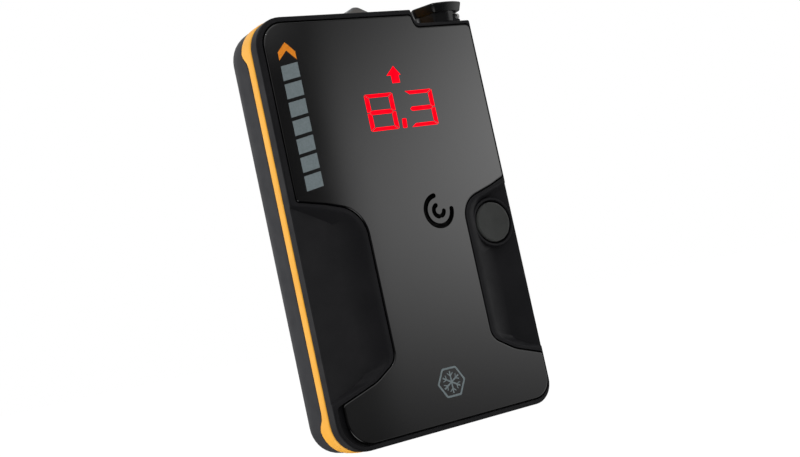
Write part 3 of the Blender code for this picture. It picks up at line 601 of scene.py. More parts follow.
def flat_piece(name, loops, front, back):
    """A plate between two depths: the first loop is its outline, the others are openings."""
    curve = bpy.data.curves.new(name, "CURVE")
    curve.dimensions = "2D"
    curve.fill_mode = "BOTH"
    curve.extrude = (back - front) / 2 * MM
    for loop in loops:
        spline = curve.splines.new("POLY")
        spline.points.add(len(loop) - 1)
        for point, place in zip(spline.points, loop):
            point.co = (place.x * MM, place.y * MM, 0, 1)
        spline.use_cyclic_u = True
    shape = curve_surface(curve)
    middle = at(0, (front + back) / 2, 0)
    for vert in shape.verts:
        vert.co = middle + Vector((vert.co.x, -vert.co.z, vert.co.y))
    return object_from(name, shape)


def coil(name, middle, axis, length, radii, turns, wire, closed_turns=0.75):
    """A coil spring whose end turns lie flat; radii are those of its two ends."""
    curve = bpy.data.curves.new(name, "CURVE")
    curve.dimensions = "3D"
    curve.bevel_depth = wire * MM
    curve.bevel_resolution = 4
    curve.use_fill_caps = True
    spline = curve.splines.new("POLY")
    count = int(turns * 36)
    spline.points.add(count)
    rest = turns - 2 * closed_turns
    for i, point in enumerate(spline.points):
        turn = turns * i / count
        rise = min(max((turn - closed_turns) / rest, 0), 1)
        height = wire + (length - 2 * wire) * rise
        radius = radii[0] + (radii[1] - radii[0]) * rise
        angle = 2 * math.pi * turn
        spot = Vector((radius * math.cos(angle), radius * math.sin(angle), height)) * MM
        point.co = (*(at(*middle) + TURNS[axis] @ spot), 1.0)
    return object_from(name, curve_surface(curve))


def apply_modifiers(obj):
    bpy.context.view_layer.update()
    graph = bpy.context.evaluated_depsgraph_get()
    mesh = bpy.data.meshes.new_from_object(obj.evaluated_get(graph))
    obj.modifiers.clear()
    old = obj.data
    obj.data = mesh
    bpy.data.meshes.remove(old)


def combine(target, other, operation="DIFFERENCE"):
    """Cuts or joins another body at once, and removes it."""
    modifier = target.modifiers.new(operation.lower(), "BOOLEAN")
    modifier.operation = operation
    modifier.solver = "EXACT"
    modifier.object = other
    apply_modifiers(target)
    bpy.data.objects.remove(other)


def weigh_normals(obj):
    """Lets large faces set the shading, so that only the narrow faces between them look bent."""
    modifier = obj.modifiers.new("weighted", "WEIGHTED_NORMAL")
    modifier.keep_sharp = True
    modifier.weight = 80
    apply_modifiers(obj)


def finish_piece(obj, material, body, nodes=(), angle=32):
    """Shades a piece, gives it its material, and ties it to the frame."""
    obj.data.materials.clear()
    obj.data.materials.append(MATERIALS[material])
    obj.data.shade_smooth()
    obj.data.set_sharp_from_angle(angle=math.radians(angle))
    weigh_normals(obj)
    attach(obj, body)
    if nodes:
        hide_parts(*nodes)
    return obj


# ---------------------------------------------------------------- front case and face plate


def scoop_wall(top, crease, floor):
    """Points down a scoop's wall, which rounds over from the ridge and then runs straight to the crease."""
    run = (crease - top).length
    rounding = min(SCOOP_ROUNDING, 0.7 * run)
    slope = (floor - FACE_DEPTH) / (run - rounding / 2)
    points = []
    for step in range(8):
        reach = rounding * step / 7
        place = top.lerp(crease, reach / run)
        points.append(at(place.x, FACE_DEPTH + slope * reach**2 / (2 * rounding) - 0.01, place.y))
    points.append(at(crease.x, floor, crease.y))
    return points


def scoop_cutter(name, side):
    """The space of a grip scoop: its wall slopes to a crease, where a flat floor rises towards the side."""
    reach = side * (SIDE + 2.2)
    loops = []
    for curve, inset in ((SCOOP_EDGE[side], SCOOP_RIDGE), (SCOOP_CREASE, 0.0)):
        corners = scoop_run(side, curve, reach, reach)
        if side > 0:
            corners.reverse()
        loops.append(rounded_loop(inset_corners(corners, [inset] * len(corners)), 12, [6] * 6))
    crease_x = SCOOP_MIDDLE + side * SCOOP_CREASE[0][0][0]
    rise = (SCOOP_DEPTH - SCOOP_SIDE_DEPTH) / (side * SIDE - crease_x)
    walls = []
    for top, crease in zip(*loops):
        walls.append(scoop_wall(top, crease, SCOOP_DEPTH - rise * (crease.x - crease_x)))
    return loft(name, [level(loops[0], -1.0)] + [list(ring) for ring in zip(*walls)])


def make_front_case():
    profile = quarter(0.5, FACE_DEPTH) + [(0.0, 2.6), (0.0, FRONT_BACK - 0.15), (0.15, FRONT_BACK)]
    case = outline_loft("front_case_fine", case_loop, profile)
    rings = []
    for wider, depth in ((0.14, -1), (0.14, 0.1), (0.07, 0.15), (0.02, 0.22), (0.0, 0.32), (0.0, 1.3)):
        corners = plate_corners(PLATE_GAP + wider, TAB_POCKET_LEFT)
        rings.append(level(rounded_loop(corners, 12), depth))
    combine(case, loft("plate_pocket", rings))
    for side in (-1, 1):
        combine(case, scoop_cutter("scoop_space", side))
    combine(case, loft("front_hollow", [level(case_loop(1.6), 2.7), level(case_loop(1.6), 6)]))
    combine(case, block("display_window", (-9, 0, 80), (19, 4, 101)))
    drill(case, (SPEAKER.x, 0, SPEAKER.z), "y", 6, 0, 4, 64)
    add_button_collar(case)
    for screw in SCREWS:
        place = (screw.x, 0, screw.z)
        boss = [(0, 6.0), (3.0, 6.0), (3.0, 2.4), (0, 2.4)]
        combine(case, turned("boss", place, "y", boss, 32), "UNION")
        drill(case, place, "y", 1.3, 3.0, 8.0, 24)
    finish_piece(case, "front_plastic", "case", ["front_case"])


def add_button_collar(case):
    """The raised ring round the thumb button, its well and the hole for the button's stem."""
    place = (BUTTON.x, 0, BUTTON.z)
    ring = [(6.98, 2.65), (6.98, 1.3), (6.96, 0.9), (6.9, 0.68), (6.78, 0.56), (6.4, 0.54), (6.3, 0.58)]
    ring += [(6.22, 0.7), (6.15, 1.2), (5.85, 2.65)]
    drill(case, place, "y", 6.4, -1.0, 2.0, 96)
    combine(case, turned("collar", place, "y", ring, 96), "UNION")
    drill(case, place, "y", 2.85, 1, 5, 48)


def make_face_plate():
    front = local_box("face_plate")[0].y
    profile = quarter(0.35, front, 6) + [(0, PLATE_BACK)]
    rings = [level(rounded_loop(plate_corners(-inset), 14), depth) for inset, depth in profile]
    plate = loft("face_plate_fine", rings)
    slots = [
        arc_slot(SPEAKER.x, SPEAKER.z, 4.3, 1.4, 99, 360),
        arc_slot(SPEAKER.x, SPEAKER.z, 1.65, 1.3, 112, 260, 24),
        arc_slot(SPEAKER.x, SPEAKER.z, 1.65, 1.3, 294, 350, 10),
    ]
    for loop in slots:
        combine(plate, flat_piece("slot", [loop], -1, 3))
    finish_piece(plate, "smoked_plate", "case", ["face_plate"])


def make_speaker_grille():
    """The perforated membrane that shows through the speaker slots."""
    low, high = local_box("speaker_membrane")
    radius = (high.x - low.x) / 2
    profile = [(0, high.y), (radius, high.y), (radius, low.y)]
    profile += [(radius * 0.4, low.y - 0.1), (0, low.y - 0.12)]
    grille = turned("speaker_membrane_fine", (SPEAKER.x, 0, SPEAKER.z), "y", profile)
    finish_piece(grille, "seal_rubber", "case", ["speaker_membrane"])


# ---------------------------------------------------------------- trim band and rear case


def corner_share(p):
    """0 along the straight edges and 1 round the corners, changing smoothly."""
    top = SHELF if p.x > SHELF_START else HEIGHT
    reach = max(min(p.y, top - p.y), SIDE - abs(p.x))
    t = min(max((11.2 - reach) / 4.2, 0), 1)
    return t * t * (3 - 2 * t)


def band_rear(p):
    return BAND_REAR + (BAND_HIGH.y - BAND_REAR) * corner_share(p)


def make_trim_band():
    front = BAND_LOW.y - 0.05
    base = case_loop(0)
    edge = [(2.0, 0.0), (0.35, 0.0), (0.12, 0.05), (0.0, 0.18), (-0.12, 0.5), (-0.17, 1.1)]
    section = [(inset, False, offset) for inset, offset in edge]
    section += [(inset, True, -offset) for inset, offset in reversed(edge)]
    rings = []
    for inset, from_rear, offset in section:
        points = case_loop(inset)
        ring = []
        for p, q in zip(points, base):
            depth = band_rear(q) if from_rear else front
            ring.append(at(p.x, depth + offset, p.y))
        rings.append(ring)
    band = loft("trim_band_fine", rings, closed=True)
    finish_piece(band, "trim_orange", "case", ["trim_band"], 50)


def round_over(depth, radius, back):
    below = depth - (back - radius)
    return 0.0 if below <= 0 else radius - math.sqrt(max(radius**2 - below**2, 0.0))


def rear_insets(depth, wall):
    back = THICKNESS - wall
    radii = (REAR_SIDE_RADIUS, REAR_BOTTOM_RADIUS, REAR_TOP_RADIUS)
    return [wall + round_over(depth, radius - wall, back) for radius in radii]


def make_rear_case():
    base = case_loop(0)
    start = THICKNESS - REAR_SIDE_RADIUS
    rings = [level(case_loop(2.35), 5.5)]
    for inset, offset in ((2.35, 0.0), (0.3, 0.0), (0.1, 0.06), (0.0, 0.25)):
        points = case_loop(inset)
        rings.append([at(p.x, band_rear(q) + SEAM + offset, p.y) for p, q in zip(points, base)])
    first = [band_rear(q) + SEAM + 0.25 for q in base]
    for step in (1, 2, 3):
        rings.append([at(q.x, f + (start - f) * step / 3, q.y) for q, f in zip(base, first)])
    steps = 18
    for i in range(1, steps + 1):
        depth = start + REAR_SIDE_RADIUS * math.sin(math.pi / 2 * i / steps)
        rings.append(level(case_loop(*rear_insets(depth, 0.0)), depth))
    case = loft("rear_case_fine", rings)
    rim_steps = ((RIM_INSET, 5.0), (RIM_INSET, RIM_BACK), (WALL, RIM_BACK))
    inside = [level(case_loop(inset), depth) for inset, depth in rim_steps]
    inner_radius = REAR_SIDE_RADIUS - WALL
    for i in range(9):
        depth = start + inner_radius * math.sin(math.pi / 2 * i / 8)
        inside.append(level(case_loop(*rear_insets(depth, WALL)), depth))
    combine(case, loft("rear_hollow", inside))
    add_battery_bay(case)
    for screw in SCREWS:
        place = (screw.x, 0, screw.z)
        column = [(0, 20.5), (3.2, 20.5), (3.2, 7.8), (0, 7.8)]
        recess = [(0, 26.0), (2.75, 26.0), (2.6, 22.0), (2.6, 17.5), (0, 17.5)]
        combine(case, turned("column", place, "y", column, 40), "UNION")
        drill(case, place, "y", 1.3, 6.0, 20.0)
        combine(case, turned("screw_recess", place, "y", recess, 48))
    drill(case, (SHAFT.x, SHAFT.y, 0), "z", 1.5, 100, 120)
    combine(case, block("lug_slot", (-0.8, 8.1, 113.3), (8.0, 14.0, 118)))
    finish_piece(case, "shell_plastic", "case", ["rear_case"])


def add_battery_bay(case):
    combine(case, block("bay_block", (-21.6, 9.0, 8.2), (23.2, 21.5, 72.0)), "UNION")
    combine(case, block("bay_hollow", (-17.3, 10.3, 12.9), (17.3, 26, 62.8)))
    combine(case, block("gasket_step", (-19.3, 20.0, 11.0), (19.3, 26, 64.9)))
    low, high = DOOR_LOW.z - 0.2, DOOR_HIGH.z + 0.2
    combine(case, block("door_rebate", (DOOR_LOW.x - 0.2, 21.0, low), (HINGE.x, 26, high)))
    combine(case, block("hinge_relief", (19.7, HINGE.y - 1.4, low), (HINGE.x + 1.4, 26, high)))
    drill(case, (DOOR_SCREW.x, 0, DOOR_SCREW.z), "y", 1.6, 18.5, 26)
    drill(case, (HINGE.x, HINGE.y, 0), "z", PIN_HOLE, 7.5, 72.5, 20)


# ---------------------------------------------------------------- battery door and bay


def make_battery_door():
    low, high = DOOR_LOW, DOOR_HIGH
    corners = [(low.x, low.z, 1.4), (high.x, low.z, 0.6), (high.x, high.z, 0.6), (low.x, high.z, 1.4)]
    profile = [(0.0, low.y), (0.0, high.y - 0.35), (0.08, high.y - 0.15), (0.3, high.y)]

    def points(inset):
        return rounded_loop(inset_corners(corners, [inset] * 4), 10)

    door = outline_loft("battery_door_fine", points, profile)
    for i in range(5):
        z = low.z + 4.0 + 1.7 * i
        groove = block("grip_groove", (low.x + 3, high.y - 0.3, z), (low.x + 15, high.y + 1, z + 0.8), 0.2)
        combine(door, groove)
    place = (DOOR_SCREW.x, 0, DOOR_SCREW.z)
    recess = [(0, 26), (3.0, 26), (3.0, high.y + 0.01), (2.75, high.y - 0.25), (2.75, 21.95), (0, 21.95)]
    combine(door, turned("screw_recess", place, "y", recess, 64))
    drill(door, place, "y", 1.4, 20, 26)
    drill(door, (HINGE.x, HINGE.y, 0), "z", PIN_HOLE, 0, 80, 20)
    finish_piece(door, "shell_plastic", "door", ["battery_door"])


def make_door_screw():
    low, high = local_box("door_screw")
    place = (DOOR_SCREW.x, 0, DOOR_SCREW.z)
    profile = [(0, high.y), (2.2, high.y), (2.42, high.y - 0.08), (2.5, high.y - 0.25)]
    profile += [(2.5, 22.15), (1.0, 22.15)]
    for i in range(5):
        depth = 21.9 - 0.4 * i
        profile += [(1.0, depth), (0.82, depth - 0.2)]
    profile += [(0.7, low.y), (0, low.y)]
    screw = turned("door_screw_fine", place, "y", profile, 64)
    slot_low = (DOOR_SCREW.x - 1.9, 22.5, DOOR_SCREW.z - 0.35)
    slot_high = (DOOR_SCREW.x + 1.9, 24, DOOR_SCREW.z + 0.35)
    combine(screw, block("coin_slot", slot_low, slot_high, 0.1))
    finish_piece(screw, "steel", "door_fastener", ["door_screw"])


def make_case_screws():
    for number, screw in enumerate(SCREWS, 1):
        low, high = local_box(f"case_screw_{number}")
        top = high.y
        profile = [(0, top), (1.8, top), (2.1, top - 0.2), (2.2, top - 0.5), (2.2, top - 1.5)]
        profile += [(1.0, top - 1.5), (1.0, low.y + 0.4), (0.6, low.y), (0, low.y)]
        piece = turned(f"case_screw_fine_{number}", (screw.x, 0, screw.z), "y", profile, 48)
        for turn in (0, 1):
            half = (1.3, 0.28) if turn else (0.28, 1.3)
            cross_low = (screw.x - half[0], top - 0.7, screw.z - half[1])
            cross_high = (screw.x + half[0], top + 1, screw.z + half[1])
            combine(piece, block("cross_slot", cross_low, cross_high))
        finish_piece(piece, "steel", "case", [f"case_screw_{number}"])


def make_cells():
    for number in (1, 2, 3):
        low, high = local_box(f"battery_cell_{number}")
        middle = (low + high) / 2
        radius = (high.x - low.x) / 2
        top, base = high.z, low.z
        profile = [(0, top), (1.6, top), (1.85, top - 0.12), (1.9, top - 0.9), (2.3, top - 1.0)]
        profile += [(4.3, top - 1.0), (4.6, top - 0.85), (5.0, top - 0.85), (radius, top - 1.15)]
        profile += [(radius, base + 0.5), (5.0, base + 0.2), (4.6, base + 0.25), (4.4, base), (0, base)]
        cell = turned(f"battery_cell_fine_{number}", (middle.x, middle.y, 0), "z", profile, 72)
        finish_piece(cell, "cell_sleeve", "case", [f"battery_cell_{number}"])


def make_contacts():
    for number in (1, 2, 3):
        low, high = local_box(f"contact_spring_{number}")
        middle = local_middle(f"battery_cell_{number}")
        place = (middle.x, middle.y, low.z)
        length = high.z - low.z
        contact = coil(f"contact_spring_fine_{number}", place, "z", length, (3.6, 1.9), 4.0, 0.24)
        finish_piece(contact, "steel", "case", [f"contact_spring_{number}"], 60)


# ---------------------------------------------------------------- button, selector, lock and lug


def make_thumb_button():
    low, high = local_box("thumb_button")
    radius = (high.x - low.x) / 2
    place = (BUTTON.x, 0, BUTTON.z)
    top = low.y
    profile = [(0, high.y), (1.5, high.y), (1.5, 3.7), (3.2, 3.7), (3.2, 3.1), (2.3, 3.1), (2.3, 1.35)]
    profile += [(radius - 0.1, 1.35), (radius, 1.25), (radius, top + 0.3), (radius - 0.06, top + 0.16)]
    profile += [(radius - 0.2, top + 0.05), (radius - 0.45, top), (radius - 0.8, top + 0.03)]
    for share in (0.75, 0.55, 0.35, 0.15):
        profile.append((radius * share, top + 0.05 + 0.3 * (1 - share) ** 1.2))
    profile += [(0, top + 0.36)]
    button = turned("thumb_button_fine", place, "y", profile, 96)
    finish_piece(button, "button_rubber", "thumb", ["thumb_button"], 40)


def knob_ring(corners, z, inset):
    points = rounded_loop(inset_corners(corners, [inset] * len(corners)), 14)
    return [at(p.x, p.y, z) for p in points]


def make_selector_knob():
    """The pointed knob on its neck and skirt, bored for the shaft and for the screw in its top."""
    base, top = KNOB_LOW.z, KNOB_HIGH.z
    rim = 114.25
    sections = [(rim, 0.85), (rim + 0.05, 0.7), (rim + 0.15, 0.6), (top - 0.45, 0.0)]
    sections += [(top - 0.2, 0.07), (top - 0.06, 0.2), (top, 0.42)]
    knob = loft("selector_knob_fine", [knob_ring(KNOB_CORNERS, z, inset) for z, inset in sections])
    skirt = ((111.3, 0.45), (111.42, 0.3), (114.6, 0.0))
    combine(knob, loft("skirt", [knob_ring(SKIRT_CORNERS, z, inset) for z, inset in skirt]), "UNION")
    place = (SHAFT.x, SHAFT.y, 0)
    neck = [(0, 115.0), (3.2, 115.0), (3.2, 114.2), (2.7, 113.95), (2.4, 113.5), (2.4, base), (0, base)]
    combine(knob, turned("neck", place, "z", neck), "UNION")
    for radius, low, high in ((1.45, 110.0, 114.9), (0.8, 114.0, 116.0), (1.7, 115.4, 118.0)):
        drill(knob, place, "z", radius, low, high, 48)
    groove_low = (SHAFT.x - 6.6, SHAFT.y - 0.3, top - 0.35)
    groove_high = (SHAFT.x - 2.8, SHAFT.y + 0.3, top + 1)
    combine(knob, block("pointer_groove", groove_low, groove_high, 0.1))
    finish_piece(knob, "knob_plastic", "selector", ["selector_knob"])


def make_lock():
    """The small button beside the selector's neck and the housing that it slides in."""
    middle = local_middle("lock_button")
    height = middle.z + LOCK_RISE
    housing = block("lock_housing_fine", (31.1, 3.3, 111.3), (32.7, 5.3, 114.0), 0.2)
    combine(housing, block("lock_base", (32.4, 3.4, 111.35), (34.3, 5.2, 112.4), 0.15), "UNION")
    combine(housing, block("lock_tail", (32.0, 5.0, 111.35), (32.9, 8.5, 113.9), 0.15), "UNION")
    drill(housing, (30.5, middle.y, height), "x", 0.55, 0, 4)
    finish_piece(housing, "front_plastic", "case", ["lock_housing"])
    low, high = local_box("lock_button")
    length = high.x - low.x
    profile = [(0, length), (0.55, length), (0.78, length - 0.08), (0.85, length - 0.25)]
    profile += [(0.85, length - 0.95), (0.8, length - 1.0), (0.4, length - 1.0)]
    profile += [(0.4, 0.1), (0.3, 0), (0, 0)]
    button = turned("lock_button_fine", (low.x, middle.y, height), "x", profile, 48)
    finish_piece(button, "lock_pale", "lock", ["lock_button"])


def make_leash_lug():
    low, high = local_box("leash_lug")
    corners = [(low.x, low.z, 0.3), (high.x, low.z, 0.3), (high.x, 117.0, 0.6)]
    corners += [(3.8, high.z, 2.2), (2.1, high.z, 2.0), (low.x, 117.1, 0.6)]

    def points(inset):
        return rounded_loop(inset_corners(corners, [0, inset, inset, inset, inset, inset]), 12)

    profile = [(inset, depth) for inset, depth in quarter(0.6, low.y, 5)]
    profile += [(inset, low.y + high.y - depth) for inset, depth in reversed(quarter(0.6, low.y, 5))]
    lug = outline_loft("leash_lug_fine", points, profile)
    combine(lug, block("leash_hole", (1.6, low.y - 4, 115.4), (5.6, high.y + 4, 117.3), 0.85, 6))
    finish_piece(lug, "lug_grey", "case", ["leash_lug"])


# ---------------------------------------------------------------- display and printed marks

UPRIGHT = 1.4  # thickness of a digit's upright bars
LEVEL = 1.0  # and of its level ones
MIDDLE = 1.2  # and of the one across its middle
BAR_GAP = 0.16


def digit_bars(half, reach):
    """The outline of each bar of a digit, half as wide as half says and half as tall as reach says."""
    inner = half - UPRIGHT
    drop = reach - LEVEL
    level_gap = BAR_GAP * UPRIGHT / LEVEL
    point = half - UPRIGHT / 2
    outer_x, inner_x = half - level_gap, inner - level_gap
    top = [(-outer_x, reach), (outer_x, reach), (inner_x, drop), (-inner_x, drop)]
    upper_right = [(half, reach - BAR_GAP), (half, BAR_GAP), (point, BAR_GAP)]
    upper_right += [(inner, MIDDLE / 2 + BAR_GAP), (inner, drop - BAR_GAP)]
    right_tip = [(inner - 0.1, -MIDDLE / 2), (point - 0.1, 0), (inner - 0.1, MIDDLE / 2)]
    middle = right_tip + [(-x, -z) for x, z in right_tip]
    return {
        "top": top,
        "middle": middle,
        "bottom": [(x, -z) for x, z in top],
        "upper_left": [(-x, z) for x, z in upper_right],
        "lower_left": [(-x, -z) for x, z in upper_right],
        "upper_right": upper_right,
        "lower_right": [(x, -z) for x, z in upper_right],
    }


def lit_piece(name, outline, node=None):
    piece = flat_piece(name, [[Vector(p) for p in outline]], -0.02, 0.3)
    finish_piece(piece, "display_red", "case", [node] if node else [])


def make_digit(node, lit):
    """The lit bars of one digit, just proud of the face plate."""
    low, high = local_box(node)
    middle = (low + high) / 2
    bars = digit_bars((high.x - low.x) / 2 - 0.25, (high.z - low.z) / 2 - 0.3)
    for number, place in enumerate(lit):
        outline = [(middle.x + x, middle.z + z) for x, z in bars[place]]
        lit_piece(f"{node}_{place}", outline, None if number else node)


def make_display():
    every = ["top", "middle", "bottom", "upper_left", "lower_left", "upper_right", "lower_right"]
    make_digit("digit_left", every)
    make_digit("digit_right", [place for place in every if not place.endswith("_left")])
    low, high = local_box("decimal_point")
    lean = 0.25
    left, right = low.x - 0.15, high.x + 0.15
    corners = [(left, low.z, 0.3), (right - lean, low.z, 0.3)]
    corners += [(right, high.z, 0.3), (left + lean, high.z, 0.3)]
    lit_piece("decimal_point_lit", rounded_loop(corners, 4), "decimal_point")
    low, high = local_box("direction_arrow")
    tip = low.x + 2.8
    shoulder = high.z - 2.6
    arrow = [(tip, high.z), (low.x, shoulder), (tip - 1.35, shoulder), (tip - 1.35, low.z)]
    arrow += [(tip + 1.2, low.z), (tip + 1.2, shoulder), (tip + 1.9, shoulder)]
    lit_piece("direction_arrow_lit", arrow, "direction_arrow")


INK_FRONT = -0.015
INK_BACK = 0.1


def make_side_marks():
    """A plain scale of slanted bars up the left side of the plate, with an orange chevron at its top."""
    left, right = -29.3, -24.1
    z = 68.3
    length = 3.95
    slant = 0.9
    for number in range(7):
        corners = [(left, z), (right, z + slant), (right, z + slant + length), (left, z + length)]
        bar = [Vector(corner) for corner in corners]
        step = flat_piece(f"side_mark_{number + 1}", [bar], INK_FRONT, INK_BACK)
        finish_piece(step, "ink_grey", "case")
        z += length + 0.95
    middle = (left + right) / 2
    thick = 2.2
    low = z + 0.6
    chevron = [(left, low), (middle, low + 2.6), (right, low)]
    chevron += [(x, z + thick) for x, z in reversed(chevron)]
    mark = flat_piece("side_mark_chevron", [[Vector(p) for p in chevron]], INK_FRONT, INK_BACK)
    finish_piece(mark, "ink_orange", "case")


def hexagon(middle, radius, corner=0.6):
    corners = []
    for i in range(6):
        turn = math.radians(60 * i)
        corners.append((middle.x + radius * math.cos(turn), middle.y + radius * math.sin(turn), corner))
    return rounded_loop(corners, 5)


def make_snow_mark():
    """A plain snow crystal in a hexagon near the bottom of the plate."""
    middle = Vector((2.0, 11.9))
    outlines = [hexagon(middle, 4.6), hexagon(middle, 4.0, 0.5)]
    ring = flat_piece("snow_mark_ring", outlines, INK_FRONT, INK_BACK)
    finish_piece(ring, "ink_grey", "case")
    half = 0.22
    reach = 3.0
    for i in range(3):
        turn = Matrix.Rotation(math.radians(60 * i + 30), 2)
        spots = [(-reach, -half), (reach, -half), (reach, half), (-reach, half)]
        loop = [middle + turn @ Vector(p) for p in spots]
        arm = flat_piece(f"snow_mark_arm_{i + 1}", [loop], INK_FRONT - 0.002 * i, INK_BACK)
        finish_piece(arm, "ink_grey", "case")
    for i in range(6):
        turn = Matrix.Rotation(math.radians(60 * i + 30), 2)
        for side in (-1, 1):
            spots = [(1.5, 0), (1.85, 0), (2.65, side * 0.95), (2.3, side * 0.95)]
            if side < 0:
                spots.reverse()
            loop = [middle + turn @ Vector(p) for p in spots]
            number = 2 * i + (side > 0)
            branch = flat_piece(f"snow_mark_branch_{number}", [loop], INK_FRONT - 0.008, INK_BACK)
            finish_piece(branch, "ink_grey", "case")


# ---------------------------------------------------------------- CAD nodes that stay


def dress_cad_nodes():
    """Gives each CAD node that stays in view its procedural material."""
    slots = {row["node"]: row["material_slot"] for row in frame["record"]["subparts"]}
    for name, obj in frame["nodes"].items():
        if obj.hide_render:
            continue
        obj.data.materials.clear()
        obj.data.materials.append(MATERIALS[slots[name]])


# ---------------------------------------------------------------- studio


EYE = (-190.74, -283.17, 31.57)
PANEL_RADIANCE = 2.05
FRONT_RADIANCE = 0.09
BACK_RADIANCE = 0.9
LEFT_RADIANCE = 1.4
RIGHT_RADIANCE = 1.5
ABOVE_RADIANCE = 0.65
BELOW_RADIANCE = 2.2
LOW_RIGHT_RADIANCE = 1.3
CORNER_RADIANCE = 0.8  # of the panel's part that the plate's upper left corner mirrors


def make_camera():
    """The camera sits to the left of the front, a little below the middle, and leans clockwise."""
    turn = math.radians(33.44)
    rise = math.radians(3.93)
    roll = math.radians(12.25)
    forward = Vector((math.sin(turn) * math.cos(rise), math.cos(turn) * math.cos(rise), math.sin(rise)))
    level_right = Vector((math.cos(turn), -math.sin(turn), 0))
    level_up = level_right.cross(forward)
    right = level_right * math.cos(roll) - level_up * math.sin(roll)
    up = level_up * math.cos(roll) + level_right * math.sin(roll)
    data = bpy.data.cameras.new("camera")
    data.sensor_width = 36.0
    data.lens = 57.15
    data.clip_start = 0.01
    camera = bpy.data.objects.new("camera", data)
    bpy.context.scene.collection.objects.link(camera)
    spot = at(*EYE)
    rows = [[right[i], up[i], -forward[i], spot[i]] for i in range(3)]
    camera.matrix_world = Matrix(rows + [[0, 0, 0, 1]])
    bpy.context.scene.camera = camera


def area_light(name, spot, target, size, power):
    data = bpy.data.lights.new(name, "AREA")
    data.shape = "RECTANGLE"
    data.size, data.size_y = size
    data.energy = power
    light = bpy.data.objects.new(name, data)
    bpy.context.scene.collection.objects.link(light)
    light.location = spot
    light.rotation_euler = (Vector(target) - Vector(spot)).to_track_quat("-Z", "Y").to_euler()


def calculate(tree, operation, *values):
    node = tree.nodes.new("ShaderNodeMath")
    node.operation = operation
    for socket, value in zip(node.inputs, values):
        if isinstance(value, (int, float)):
            socket.default_value = value
        else:
            tree.links.new(value, socket)
    return node.outputs["Value"]


def product(tree, first, *others):
    for value in others:
        first = calculate(tree, "MULTIPLY", first, value)
    return first


def total(tree, first, *others):
    for value in others:
        first = calculate(tree, "ADD", first, value)
    return first


def fade(tree, value, start, end, low=0.0, high=1.0):
    """A smooth change from low to high while a value runs from start to end."""
    node = tree.nodes.new("ShaderNodeMapRange")
    node.interpolation_type = "SMOOTHSTEP"
    tree.links.new(value, node.inputs["Value"])
    for socket, number in zip(("From Min", "From Max", "To Min", "To Max"), (start, end, low, high)):
        if isinstance(number, (int, float)):
            node.inputs[socket].default_value = number
        else:
            tree.links.new(number, node.inputs[socket])
    return node.outputs["Result"]


def panel_glow(tree, x, y, z):
    """A soft panel on the front right that the face plate mirrors. Each of its points is described by where
    on the plate, in local millimetres, the camera sees it."""
    ahead = calculate(tree, "MAXIMUM", calculate(tree, "MULTIPLY", y, -1.0), 0.05)
    across = calculate(tree, "MULTIPLY_ADD", calculate(tree, "DIVIDE", x, ahead), -EYE[1], EYE[0])
    height = calculate(tree, "MULTIPLY_ADD", calculate(tree, "DIVIDE", z, ahead), -EYE[1], EYE[2])
    capped = calculate(tree, "MINIMUM", across, 40.0)
    crest = calculate(tree, "MULTIPLY_ADD", capped, 0.29, 63.0)
    spread = calculate(tree, "MULTIPLY_ADD", capped, 0.17, 34.5)
    off = calculate(tree, "DIVIDE", calculate(tree, "SUBTRACT", height, crest), spread)
    fall = product(tree, calculate(tree, "POWER", calculate(tree, "ABSOLUTE", off), 2.0), -0.5)
    power = calculate(tree, "MULTIPLY_ADD", capped, 0.0115, fall)
    left_edge = fade(tree, across, -25.0, -12.0, fade(tree, height, 5.0, 32.0, 0.45, 0.0), 1.0)
    right_edge = fade(tree, across, 45.0, 260.0, 1.0, 0.0)
    glow = product(tree, calculate(tree, "EXPONENT", power), PANEL_RADIANCE, left_edge, right_edge)
    corner = product(tree, fade(tree, height, 98.0, 120.0), fade(tree, across, -20.0, -32.0))
    corner = product(tree, corner, CORNER_RADIANCE)
    return product(tree, total(tree, glow, corner), fade(tree, y, -0.1, -0.4))


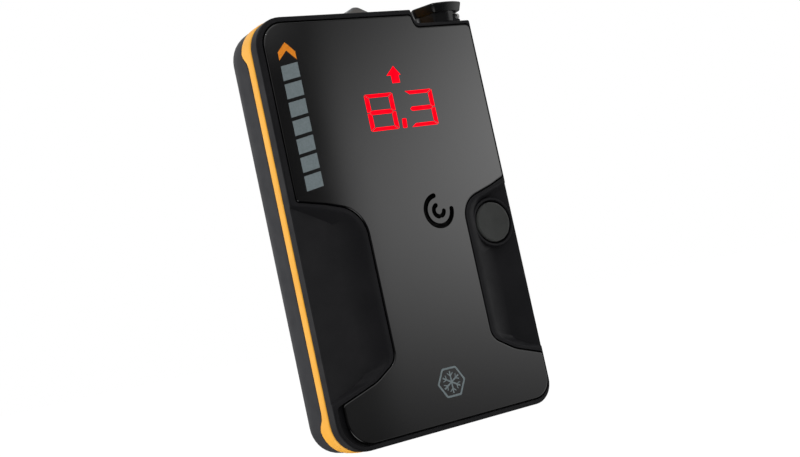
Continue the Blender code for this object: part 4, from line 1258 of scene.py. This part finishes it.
def make_world():
    """White to the camera. To everything else it is dim in front and bright behind, with soft panels on the
    left, on the right, above, below on the left, and low on the front right."""
    world = bpy.data.worlds.new("studio")
    world.use_nodes = True
    tree = world.node_tree
    direction = tree.nodes.new("ShaderNodeTexCoord").outputs["Generated"]
    split = tree.nodes.new("ShaderNodeSeparateXYZ")
    tree.links.new(direction, split.inputs["Vector"])
    x, y, z = (split.outputs[axis] for axis in "XYZ")
    ambient = fade(tree, y, 0.0, 0.8, FRONT_RADIANCE, BACK_RADIANCE)
    ambient = product(tree, ambient, fade(tree, z, -0.35, 0.1, 0.1, 1.0))
    left = product(tree, fade(tree, x, -0.25, -0.75), LEFT_RADIANCE, fade(tree, y, -0.1, 0.4, 0.02, 1.0))
    right = product(tree, fade(tree, x, 0.72, 0.92), fade(tree, y, 0.15, -0.1), RIGHT_RADIANCE)
    above = product(tree, fade(tree, z, 0.5, 0.85), fade(tree, y, 0.1, -0.1, 0.25, 1.0), ABOVE_RADIANCE)
    below = product(tree, fade(tree, z, -0.45, -0.75), fade(tree, x, 0.1, -0.3), BELOW_RADIANCE)
    low_right = product(tree, fade(tree, z, -0.12, -0.25), fade(tree, y, -0.3, -0.5))
    low_right = product(tree, low_right, fade(tree, x, 0.3, 0.8), LOW_RIGHT_RADIANCE)
    light = total(tree, ambient, left, right, above, below, low_right, panel_glow(tree, x, y, z))
    camera_ray = tree.nodes.new("ShaderNodeLightPath").outputs["Is Camera Ray"]
    seen = fade(tree, camera_ray, 0.0, 1.0, light, 1.0)
    background = tree.nodes["Background"]
    background.inputs["Color"].default_value = (1.0, 1.0, 1.0, 1.0)
    tree.links.new(seen, background.inputs["Strength"])
    bpy.context.scene.world = world


def floor_material():
    nodes = Nodes("floor")
    nodes.colour(nodes.mottle(8, 2, (0.05, 0.05, 0.05), (0.06, 0.06, 0.06)))
    nodes.set(Roughness=0.9, Specular_IOR_Level=0.0)
    nodes.set(Emission_Color=(1.0, 1.0, 1.0, 1.0), Emission_Strength=1.0)
    return nodes.material


def make_studio():
    bpy.context.scene.view_settings.view_transform = "Standard"
    make_world()
    shape = bmesh.new()
    bmesh.ops.create_grid(shape, x_segments=1, y_segments=1, size=3.0)
    floor = object_from("floor", shape)
    floor.location.z = CASE_LOW.z - 0.0002
    floor.data.materials.append(floor_material())
    floor.visible_diffuse = False
    floor.visible_glossy = False
    floor.visible_shadow = False
    area_light("highlight", (-0.35, -0.25, 0.75), (0, 0, 0.06), (0.06, 0.06), 0.6)


# ---------------------------------------------------------------- build

make_front_case()
make_face_plate()
make_speaker_grille()
make_trim_band()
make_rear_case()
make_battery_door()
make_door_screw()
make_case_screws()
make_cells()
make_contacts()
make_thumb_button()
make_selector_knob()
make_lock()
make_leash_lug()
make_display()
make_side_marks()
make_snow_mark()
dress_cad_nodes()
make_camera()
make_studio()
